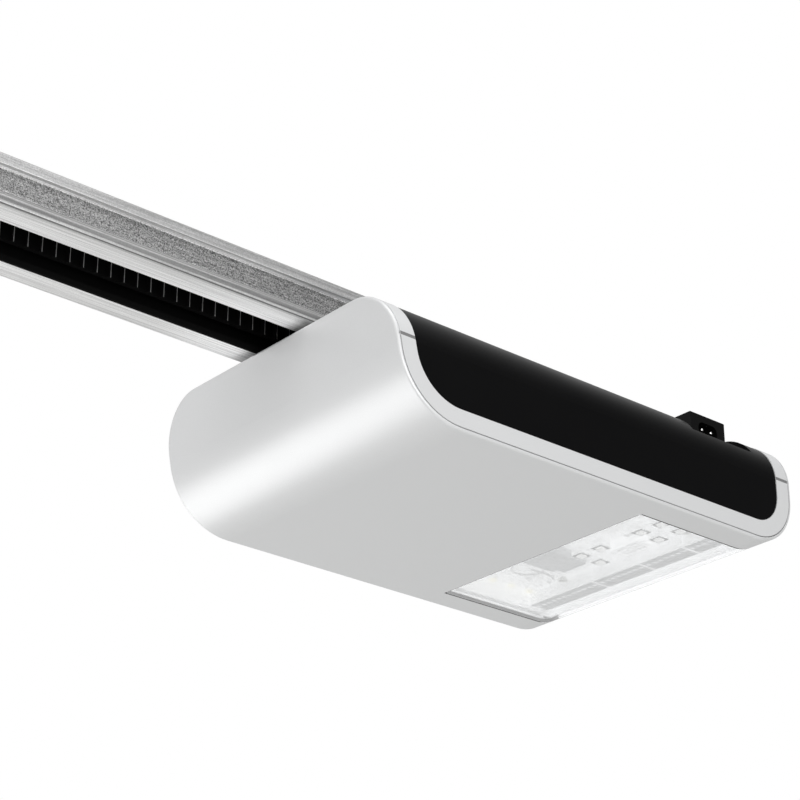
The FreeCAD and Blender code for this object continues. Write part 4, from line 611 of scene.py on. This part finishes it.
# %% Plastic finishes
trolley_black = finish("trolley_black", (0.018, 0.018, 0.019), 0.48, grain_size=0.0009, depth=0.45, tone=0.3,
                       worn=0.25, worn_colour=(0.12, 0.12, 0.12))
pulley_black = finish("pulley_black", (0.035, 0.035, 0.036), 0.42, grain_size=0.0008, depth=0.3, tone=0.25,
                      worn=0.3, worn_colour=(0.16, 0.16, 0.16))
rubber_black = finish("rubber_black", (0.016, 0.016, 0.016), 0.72, grain_size=0.0010, depth=0.5, tone=0.25)
shoe_white = finish("shoe_white", (0.72, 0.70, 0.64), 0.35, grain_size=0.0006, depth=0.15, worn=0.15,
                    worn_colour=(0.5, 0.49, 0.45))
lever_red = finish("lever_red", (0.50, 0.022, 0.018), 0.36, grain_size=0.0006, depth=0.2, tone=0.08, worn=0.25,
                   worn_colour=(0.72, 0.20, 0.16))
dark_moulding = finish("dark_moulding", (0.03, 0.03, 0.03), 0.5, grain_size=0.0007, depth=0.3, tone=0.2)
post_white = finish("post_white", (0.78, 0.78, 0.75), 0.45, grain_size=0.0006, depth=0.15)
dress(trolley_black, "trolley_body", "belt_clamp")
dress(pulley_black, "drive_pulley", "idler_pulley")
dress(rubber_black, "end_stops")
dress(shoe_white, "slider_shoes")
dress(lever_red, "release_lever")
dress(dark_moulding, "motor_end_cap", "encoder_disc")
dress(post_white, "board_standoffs")
print("plastics: 7 finishes")

# %% [markdown]
# ### Windings and laminations
#
# A toroidal transformer is wound round its ring and wrapped in tape, so its lines run out from the
# centre. The angle round the centre, from a radial gradient, makes them. The motor's core is a stack of
# thin sheets, so its lines lie across the shaft.

# %% Winding finish
ring_low, ring_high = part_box("transformer")
ring_centre = (ring_low + ring_high) / 2
TAPE_LAPS = 46

tape = finish("wound_tape", (0.62, 0.42, 0.10), 0.35, grain_size=0.0005, depth=0.1, coat=0.4)
tape_tree = tape.node_tree
tape_angle = textured(tape_tree, "Gradient", object_place(tape_tree, ring_centre), "Fac")
tape_tree.nodes[-1].gradient_type = "RADIAL"
tape_lap = maths(tape_tree, "FRACT", maths(tape_tree, "MULTIPLY", tape_angle, TAPE_LAPS))
tape_tint = shades(tape_tree, tape_lap, (0.38, 0.22, 0.05), (0.66, 0.46, 0.13), 0.02, 0.35)
tape_bump = tape_tree.nodes.new("ShaderNodeBump")
tape_bump.inputs["Distance"].default_value = 0.0004
tape_tree.links.new(tape_lap, tape_bump.inputs["Height"])
tape_tree.links.new(tape_bump.outputs["Normal"], tape_tree.nodes["Principled BSDF"].inputs["Normal"])
tape_tree.links.new(tape_tint, tape_tree.nodes["Principled BSDF"].inputs["Base Color"])
dress(tape, "transformer")

stack = finish("core_laminations", (0.20, 0.20, 0.21), 0.4, metallic=0.8, grain_size=0.0004, depth=0.1)
stack_tree = stack.node_tree
stack_place = object_place(stack_tree, scale=(1, 0, 0))
stack_lines = textured(stack_tree, "Wave", stack_place, "Fac", Scale=320.0)
stack_tint = shades(stack_tree, stack_lines, (0.08, 0.08, 0.08), (0.30, 0.30, 0.31), 0.2, 0.6)
stack_tree.links.new(stack_tint, stack_tree.nodes["Principled BSDF"].inputs["Base Color"])
dress(stack, "motor_armature")
print("transformer centre", [round(value, 3) for value in ring_centre])

# %% [markdown]
# ### Control board
#
# The board has a white mask with slightly raised tracks, which a grid pattern gives. Its parts are pale
# too, and only the key frames, the terminals and the receiver's tinned can are grey.

# %% Board finishes
# Painted glow: the board and the parts on and round it are given this emission, standing in for light inside the
# head; none of them is a lamp.
BOARD_PAINTED_GLOW = 0.75
board_white = finish("board_white", (0.86, 0.865, 0.87), 0.32, grain_size=0.0006, depth=0.08, tone=0.01,
                     glow=BOARD_PAINTED_GLOW)
board_tree = board_white.node_tree
tracks = textured(board_tree, "Brick", object_place(board_tree), "Fac", Scale=90.0)
tracks_tint = shades(board_tree, tracks, (0.88, 0.885, 0.89), (0.74, 0.75, 0.755), 0.0, 1.0)
colour_shader(board_white, tracks_tint, BOARD_PAINTED_GLOW)
key_white = finish("key_white", (0.88, 0.88, 0.87), 0.4, grain_size=0.0005, depth=0.1, tone=0.02, glow=BOARD_PAINTED_GLOW)
key_grey = finish("key_grey", (0.30, 0.305, 0.31), 0.42, grain_size=0.0005, depth=0.15, glow=BOARD_PAINTED_GLOW)
tinned_can = finish("tinned_can", (0.40, 0.405, 0.41), 0.35, metallic=0.3, grain_size=0.0006, depth=0.12,
                    glow=BOARD_PAINTED_GLOW)
chip_yellow = finish("chip_yellow", (0.86, 0.83, 0.66), 0.25, grain_size=0.0003, depth=0.05, glow=BOARD_PAINTED_GLOW)
display_pale = finish("display_pale", (0.90, 0.905, 0.91), 0.25, grain_size=0.0005, depth=0.05, tone=0.01,
                      glow=BOARD_PAINTED_GLOW)

terminal_grey = finish("terminal_grey", (0.34, 0.345, 0.35), 0.45, grain_size=0.0006, depth=0.15, glow=BOARD_PAINTED_GLOW)
terminal_tree = terminal_grey.node_tree
way_lines = textured(terminal_tree, "Wave", object_place(terminal_tree, scale=(1, 0, 0)), "Fac", Scale=200.0)
way_grey = shades(terminal_tree, way_lines, (0.22, 0.22, 0.225), (0.36, 0.365, 0.37), 0.05, 0.4)
way_facing = terminal_tree.nodes.new("ShaderNodeSeparateXYZ")
terminal_tree.links.new(terminal_tree.nodes.new("ShaderNodeNewGeometry").outputs["True Normal"],
                        way_facing.inputs["Vector"])
way_side = maths(terminal_tree, "GREATER_THAN", way_facing.outputs["Z"], -0.6)
way_tint = blend_colours(terminal_tree, way_side, way_grey, (0.74, 0.745, 0.75, 1))
colour_shader(terminal_grey, way_tint, BOARD_PAINTED_GLOW)

dress(board_white, "control_board")
dress(key_white, *["button_" + str(number) for number in range(1, 8)])
dress(key_grey, "switch_bases")
dress(tinned_can, "radio_module")
dress(chip_yellow, "courtesy_leds")
dress(display_pale, "display_module")
dress(terminal_grey, "terminal_strip")
print("board: 7 finishes")


# %% [markdown]
# ## Modelling helpers
#
# New pieces are modelled as by hand: a primitive is added at its size and place, faces are chosen by
# where they are, and edit-mode tools shape them. A finished piece sits at the origin with its place in
# its mesh.


# %% Helpers for modelling
def block(name, centre, size):
    """A box primitive with its place and size in its mesh."""
    bpy.ops.object.select_all(action="DESELECT")
    bpy.ops.mesh.primitive_cube_add(size=1, location=centre)
    piece = bpy.context.object
    piece.name = name
    piece.scale = size
    bpy.ops.object.transform_apply(location=True, rotation=True, scale=True)
    return piece


def rod(name, centre, radius, length, turn=(0, 0, 0), sides=24):
    """A cylinder primitive with its place and size in its mesh."""
    bpy.ops.object.select_all(action="DESELECT")
    bpy.ops.mesh.primitive_cylinder_add(vertices=sides, radius=radius, depth=length, location=centre,
                                        rotation=turn)
    piece = bpy.context.object
    piece.name = name
    bpy.ops.object.transform_apply(location=True, rotation=True, scale=True)
    return piece


def edit_faces(piece, chosen):
    """Opens a piece in edit mode with the faces selected whose centre and normal pass a test."""
    bpy.ops.object.select_all(action="DESELECT")
    piece.select_set(True)
    bpy.context.view_layer.objects.active = piece
    bpy.ops.object.mode_set(mode="EDIT")
    bpy.ops.mesh.select_mode(type="FACE")
    bpy.ops.mesh.select_all(action="DESELECT")
    mesh = bmesh.from_edit_mesh(piece.data)
    for face in mesh.faces:
        face.select_set(chosen(face.calc_center_median(), face.normal))
    bmesh.update_edit_mesh(piece.data)


def leave_edit():
    """Back to object mode."""
    bpy.ops.object.mode_set(mode="OBJECT")


def modify(piece, kind, **values):
    """Adds a modifier, sets it and applies it."""
    bpy.ops.object.select_all(action="DESELECT")
    piece.select_set(True)
    bpy.context.view_layer.objects.active = piece
    modifier = piece.modifiers.new(kind.lower(), kind)
    for name, value in values.items():
        setattr(modifier, name, value)
    bpy.ops.object.modifier_apply(modifier=modifier.name)
    return piece


def soften(piece, width, segments=2):
    """Rounds a piece's edges a little and shades it smooth between them."""
    modify(piece, "BEVEL", width=width, segments=segments, limit_method="ANGLE")
    bpy.ops.object.shade_smooth_by_angle(angle=math.radians(35))
    return piece


def copy_to(piece, shift):
    """A copy with its own mesh, moved in the mesh."""
    twin = piece.copy()
    twin.data = piece.data.copy()
    for vertex in twin.data.vertices:
        vertex.co += Vector(shift)
    scene.collection.objects.link(twin)
    return twin


def join(name, pieces):
    """One piece from several."""
    bpy.ops.object.select_all(action="DESELECT")
    for piece in pieces:
        piece.select_set(True)
    bpy.context.view_layer.objects.active = pieces[0]
    if len(pieces) > 1:
        bpy.ops.object.join()
    pieces[0].name = name
    return pieces[0]


def place_on(piece, body, material):
    """Says which body a new piece rides on and gives it its finish."""
    if material and not piece.data.materials:
        piece.data.materials.append(material)
    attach(piece, body)
    print(piece.name, len(piece.data.polygons), "faces")
    return piece


# %% [markdown]
# ## Toothed belt
#
# The belt is a loop of 560 equal teeth. One tooth's length of belt is modelled from a block: its inner
# face is cut across, the middle is drawn out into a tooth, and a narrow strip on the tooth's crest gets a
# lighter grey, a painted highlight. An array repeats it, and then each point is carried round the loop,
# so every tooth meets a pulley's gap.

# %% Measure the loop
shaft_x = JOINTS["output_spin"]["pos_m"][0]
idler_x = JOINTS["idler_spin"]["pos_m"][0]
belt_low, belt_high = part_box("belt")
PULLEY_TEETH = 12
PITCH = 9.525 * MM
BACKING = 2.2 * MM
TOOTH_HEIGHT = 1.95 * MM
outer_radius = belt_high.y
inner_radius = outer_radius - BACKING
strand = shaft_x - idler_x
teeth = PULLEY_TEETH + 2 * round(strand / PITCH)
belt_width = belt_high.z - belt_low.z
print("belt:", teeth, "teeth, strand", round(strand, 4), "m, inner radius", round(inner_radius * 1000, 2), "mm")

# %% One tooth
TOOTH_FOOT = 4.0 * MM
TOOTH_TIP = 2.3 * MM
CREST = 0.5 * MM
belt_mid_z = (belt_low.z + belt_high.z) / 2
belt = block("toothed_belt", (PITCH / 2, BACKING / 2, belt_mid_z), (PITCH, BACKING, belt_width))
edit_faces(belt, lambda centre, normal: abs(normal.x) > 0.9)
bpy.ops.mesh.delete(type="FACE")
for cut in (-TOOTH_FOOT / 2, TOOTH_FOOT / 2):
    bpy.ops.mesh.select_all(action="SELECT")
    bpy.ops.mesh.bisect(plane_co=(PITCH / 2 + cut, 0, 0), plane_no=(1, 0, 0))
leave_edit()
edit_faces(belt, lambda centre, normal: normal.y < -0.9 and abs(centre.x - PITCH / 2) < TOOTH_FOOT / 2)
bpy.ops.mesh.extrude_region_move(TRANSFORM_OT_translate={"value": (0, -TOOTH_HEIGHT, 0)})
bpy.ops.transform.resize(value=(TOOTH_TIP / TOOTH_FOOT, 1, 1), center_override=(PITCH / 2, 0, belt_mid_z))
for cut in (-CREST / 2, CREST / 2):
    bpy.ops.mesh.select_all(action="SELECT")
    bpy.ops.mesh.bisect(plane_co=(PITCH / 2 + cut, 0, 0), plane_no=(1, 0, 0))
leave_edit()
belt_rubber = finish("belt_rubber", (0.004, 0.004, 0.004), 0.6, grain_size=0.0007, depth=0.4, tone=0.25,
                     shine=0.15)
# Painted highlight: a light grey strip along each tooth's crest.
crest_rubber = finish("crest_rubber", (0.48, 0.48, 0.48), 0.5, grain_size=0.0007, depth=0.3, tone=0.1)
belt.data.materials.append(belt_rubber)
belt.data.materials.append(crest_rubber)
for polygon in belt.data.polygons:
    on_crest = polygon.normal.y < -0.9 and abs(polygon.center.x - PITCH / 2) < CREST / 2
    polygon.material_index = 1 if on_crest and polygon.center.y < -TOOTH_HEIGHT / 2 else 0
print("one tooth:", len(belt.data.polygons), "faces")

# %% Repeat it and carry it round the loop
modify(belt, "ARRAY", count=teeth, use_relative_offset=False, use_constant_offset=True,
       constant_offset_displace=(PITCH, 0, 0), use_merge_vertices=True, merge_threshold=0.00001)
strand_teeth = round(strand / PITCH)
arc_teeth = PULLEY_TEETH // 2


def round_the_loop(along, height):
    """The place on the loop of a point that far along the belt and that far outside its inner face."""
    radius = inner_radius + height
    part = along / PITCH
    if part <= strand_teeth:
        return idler_x + along, -radius
    part -= strand_teeth
    if part <= arc_teeth:
        angle = math.pi * (part / arc_teeth - 0.5)
        return shaft_x + radius * math.cos(angle), radius * math.sin(angle)
    part -= arc_teeth
    if part <= strand_teeth:
        return shaft_x - part * PITCH, radius
    part -= strand_teeth
    angle = math.pi * (0.5 + part / arc_teeth)
    return idler_x + radius * math.cos(angle), radius * math.sin(angle)


for vertex in belt.data.vertices:
    vertex.co.x, vertex.co.y = round_the_loop(vertex.co.x, vertex.co.y)
edit_faces(belt, lambda centre, normal: True)
bpy.ops.mesh.remove_doubles(threshold=0.00001)
bpy.ops.mesh.normals_make_consistent(inside=False)
leave_edit()
place_on(belt, "opener", None)
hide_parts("belt")

# %% [markdown]
# ## On the board
#
# The board carries more than its CAD parts: a frame round each key, small parts between them, the bars of
# the display and two insulated leads beside the receiver. The key frame is modelled once and copied.

# %% Key frames
FRAME_OUTER = 9.6 * MM
FRAME_INNER = 5.5 * MM
FRAME_FOOT_INNER = 6.5 * MM
FRAME_HEIGHT = 6.7 * MM
board_face = board_low.z
button_places = []
for number in range(1, 8):
    low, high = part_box("button_" + str(number))
    button_places.append((low + high) / 2)


def square_ring(name, middle, outer, inner, low_z, high_z):
    """A square ring: a block whose top and bottom faces are inset and joined through the middle."""
    ring = block(name, (middle.x, middle.y, (low_z + high_z) / 2), (outer, outer, high_z - low_z))
    edit_faces(ring, lambda centre, normal: abs(normal.z) > 0.9)
    bpy.ops.mesh.inset(thickness=(outer - inner) / 2, use_individual=True)
    bpy.ops.mesh.bridge_edge_loops()
    leave_edit()
    return ring


first = button_places[0]
foot_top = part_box("switch_bases")[0].z - 0.1 * MM
frame_face = board_face - FRAME_HEIGHT
foot = square_ring("key_frame_foot", first, FRAME_OUTER, FRAME_FOOT_INNER, foot_top, board_face - 0.05 * MM)
cap = square_ring("key_frame", first, FRAME_OUTER, FRAME_INNER, frame_face, foot_top)
key_frame = soften(join("key_frame", [cap, foot]), 0.12 * MM, 1)
frames_grey = finish("key_frame_grey", (0.02, 0.02, 0.021), 0.4, grain_size=0.0005, depth=0.15, glow=BOARD_PAINTED_GLOW)
frame_side = finish("key_frame_side", (0.76, 0.765, 0.77), 0.4, grain_size=0.0005, depth=0.15, glow=BOARD_PAINTED_GLOW)
key_frame.data.materials.append(frames_grey)
key_frame.data.materials.append(frame_side)
for polygon in key_frame.data.polygons:
    polygon.material_index = 0 if polygon.normal.z < -0.9 else 1
key_frames = [key_frame]
for place in button_places[1:]:
    key_frames.append(copy_to(key_frame, (place.x - first.x, place.y - first.y, 0)))
place_on(join("key_frames", key_frames), "opener", None)

# %% Light tray
TRAY_WALL = 1.0 * MM
TRAY_LOW = Vector((53.5 * MM, -95.3 * MM, -76.0 * MM))
TRAY_HIGH = Vector((159.0 * MM, 95.3 * MM, board_face))
tray = block("light_tray", (TRAY_LOW + TRAY_HIGH) / 2, TRAY_HIGH - TRAY_LOW)
edit_faces(tray, lambda centre, normal: abs(normal.z) > 0.9)
bpy.ops.mesh.inset(thickness=TRAY_WALL, use_individual=True)
bpy.ops.mesh.bridge_edge_loops()
leave_edit()
SKIRT_X = (58 * MM, 146 * MM)
SKIRT_LOW = -79.7 * MM
pieces = [tray]
for side in (-1, 1):
    skirt_y = side * (TRAY_HIGH.y - TRAY_WALL / 2)
    middle = (sum(SKIRT_X) / 2, skirt_y, (SKIRT_LOW + TRAY_LOW.z) / 2)
    pieces.append(block("skirt", middle, (SKIRT_X[1] - SKIRT_X[0], TRAY_WALL, TRAY_LOW.z - SKIRT_LOW)))
tray = join("light_tray", pieces)
tray_white = finish("tray_white", (0.86, 0.865, 0.87), 0.4, grain_size=0.0006, depth=0.1, tone=0.01, glow=BOARD_PAINTED_GLOW)
place_on(soften(tray, 0.2 * MM, 1), "opener", tray_white)

# %% Display bars
DIGIT_PITCH = 10.5 * MM
BAR_LENGTH = 6.0 * MM
BAR_WIDTH = 1.1 * MM
BAR_DEPTH = 0.3 * MM
BAR_SINK = 0.45 * MM
ROW_PITCH = BAR_LENGTH / 1.3
SIDE_REACH = BAR_LENGTH * 0.42
ACROSS_BAR = (BAR_WIDTH, BAR_LENGTH * 0.7, BAR_DEPTH)
ALONG_BAR = (BAR_LENGTH * 0.62, BAR_WIDTH, BAR_DEPTH)
display_low, display_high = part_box("display_module")
display_centre = (display_low + display_high) / 2
bars = []
for digit_y in (-DIGIT_PITCH / 2, DIGIT_PITCH / 2):
    centre = Vector((display_centre.x, display_centre.y + digit_y, display_low.z + BAR_SINK))
    for row in (-1, 0, 1):
        bars.append(block("bar", centre + Vector((row * ROW_PITCH, 0, 0)), ACROSS_BAR))
    for side in (-1, 1):
        for row in (-1, 1):
            spot = centre + Vector((row * ROW_PITCH, side * SIDE_REACH, 0))
            bars.append(block("bar", spot, ALONG_BAR))
bar_grey = finish("bar_grey", (0.62, 0.625, 0.63), 0.35, grain_size=0.0004, depth=0.1, glow=BOARD_PAINTED_GLOW)
place_on(soften(join("display_bars", bars), 0.12 * MM, 1), "opener", bar_grey)

# %% Small parts
random.seed(4)
PARTS_EACH = 5
# Length, width and height of each kind, in millimetres.
PART_KINDS = [(1.6, 0.9, 0.6), (2.2, 1.3, 0.8), (3.2, 1.8, 1.1), (5.0, 4.0, 1.5)]
# From x, to x, from y and to y of each patch of the board, in metres.
PARTS_AREA = [(0.064, 0.076, -0.080, 0.010), (0.108, 0.130, 0.048, 0.088), (0.064, 0.074, 0.050, 0.086),
              (0.084, 0.092, -0.085, -0.075), (0.104, 0.108, -0.034, -0.022), (0.125, 0.131, -0.080, 0.040)]
small_parts = []
for x0, x1, y0, y1 in PARTS_AREA:
    for count in range(PARTS_EACH):
        length, width, height = [value * MM for value in random.choice(PART_KINDS)]
        spot = (random.uniform(x0, x1), random.uniform(y0, y1), board_face - height / 2)
        size = (length, width, height) if random.random() < 0.5 else (width, length, height)
        small_parts.append(block("part", spot, size))
part_grey = finish("part_grey", (0.50, 0.50, 0.505), 0.4, grain_size=0.0004, depth=0.1, glow=BOARD_PAINTED_GLOW)
place_on(soften(join("small_parts", small_parts), 0.15 * MM, 1), "opener", part_grey)

# %% Ribbed end of the receiver
receiver_low, receiver_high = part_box("radio_module")
RIB = 0.9 * MM
RIB_DEPTH = 1.2 * MM
RIB_CUTS = 8
END_GAP = 0.3 * MM
END_LENGTH = 8 * MM
END_HEIGHT = 5.2 * MM
END_SETBACK = 3 * MM
end_start = receiver_high.x + END_GAP
end_width = receiver_high.y - receiver_low.y - 2 * END_SETBACK
end_centre = (end_start + END_LENGTH / 2, (receiver_low.y + receiver_high.y) / 2, board_face - END_HEIGHT / 2)
ribbed = block("receiver_end", end_centre, (END_LENGTH, end_width, END_HEIGHT))
edit_faces(ribbed, lambda centre, normal: True)
for count in range(1, RIB_CUTS + 1):
    bpy.ops.mesh.select_all(action="SELECT")
    bpy.ops.mesh.bisect(plane_co=(end_start + count * RIB, 0, 0), plane_no=(1, 0, 0))
leave_edit()
edit_faces(ribbed, lambda centre, normal: normal.z < -0.9 and int((centre.x - end_start) / RIB) % 2 == 1)
bpy.ops.mesh.extrude_region_move(TRANSFORM_OT_translate={"value": (0, 0, RIB_DEPTH)})
leave_edit()
place_on(soften(ribbed, 0.1 * MM, 1), "opener", tinned_can)


# %% [markdown]
# ### Leads
#
# Two insulated leads stand up from the board and bend over beside the receiver. A smooth curve with a
# round section makes each, and it is then turned into a mesh.


# %% Leads
def lead(name, points, radius):
    """A round lead along a smooth curve; points are x, y and the height off the board, in millimetres."""
    curve = bpy.data.curves.new(name, "CURVE")
    curve.dimensions = "3D"
    curve.bevel_depth = radius
    curve.bevel_resolution = 3
    curve.resolution_u = 10
    spline = curve.splines.new("NURBS")
    spline.points.add(len(points) - 1)
    for point, (x, y, off_board) in zip(spline.points, points):
        point.co = (x * MM, y * MM, board_face - off_board * MM, 1)
    spline.order_u = 4
    spline.use_endpoint_u = True
    tube = bpy.data.objects.new(name, curve)
    scene.collection.objects.link(tube)
    bpy.ops.object.select_all(action="DESELECT")
    tube.select_set(True)
    bpy.context.view_layer.objects.active = tube
    bpy.ops.object.convert(target="MESH")
    return bpy.context.object


THIN_LEAD = 0.55 * MM
THICK_LEAD = 0.75 * MM
lead_one = lead("lead", [(89, 66, 0), (89, 66, 3), (92, 62, 5.5), (99, 57, 5.5), (103, 50, 5.5), (101, 46, 3)],
                THIN_LEAD)
lead_two = lead("lead", [(121, 58, 0), (121, 58, 3), (116, 53, 5.5), (108, 48, 5.5), (101, 49, 5.5), (96, 54, 3)],
                THICK_LEAD)
lead_grey = finish("lead_grey", (0.50, 0.50, 0.505), 0.4, grain_size=0.0004, depth=0.1, glow=BOARD_PAINTED_GLOW)
leads = join("board_leads", [lead_one, lead_two])
bpy.ops.object.shade_smooth()
place_on(leads, "opener", lead_grey)

# %% [markdown]
# ## Inlet pins
#
# The pins of an appliance inlet are turned rods with a domed tip, so that the plug slides on. Each starts
# as a cylinder, and its front face is drawn forward and narrowed three times.

# %% Inlet pins
pins_low, pins_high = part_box("inlet_pins")
PIN_R = (pins_high.z - pins_low.z) / 2
pin_length = pins_high.y - pins_low.y
pin_z = (pins_low.z + pins_high.z) / 2
pins = []
for pin_x in (pins_low.x + PIN_R, pins_high.x - PIN_R):
    shank = pin_length - PIN_R
    pin = rod("pin", (pin_x, pins_high.y - shank / 2, pin_z), PIN_R, shank, (math.pi / 2, 0, 0))
    edit_faces(pin, lambda centre, normal: normal.y < -0.9)
    for step, shrink in ((0.5, 0.88), (0.32, 0.72), (0.18, 0.4)):
        bpy.ops.mesh.extrude_region_move(TRANSFORM_OT_translate={"value": (0, -step * PIN_R, 0)})
        bpy.ops.transform.resize(value=(shrink, 1, shrink), center_override=(pin_x, 0, pin_z))
    leave_edit()
    bpy.ops.object.shade_smooth_by_angle(angle=math.radians(40))
    pins.append(pin)
pin_metal = finish("pin_metal", (0.80, 0.80, 0.79), 0.18, metallic=1.0, grain_size=0.0002, depth=0.05)
domed_pins = place_on(join("domed_pins", pins), "opener", pin_metal)
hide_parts("inlet_pins")
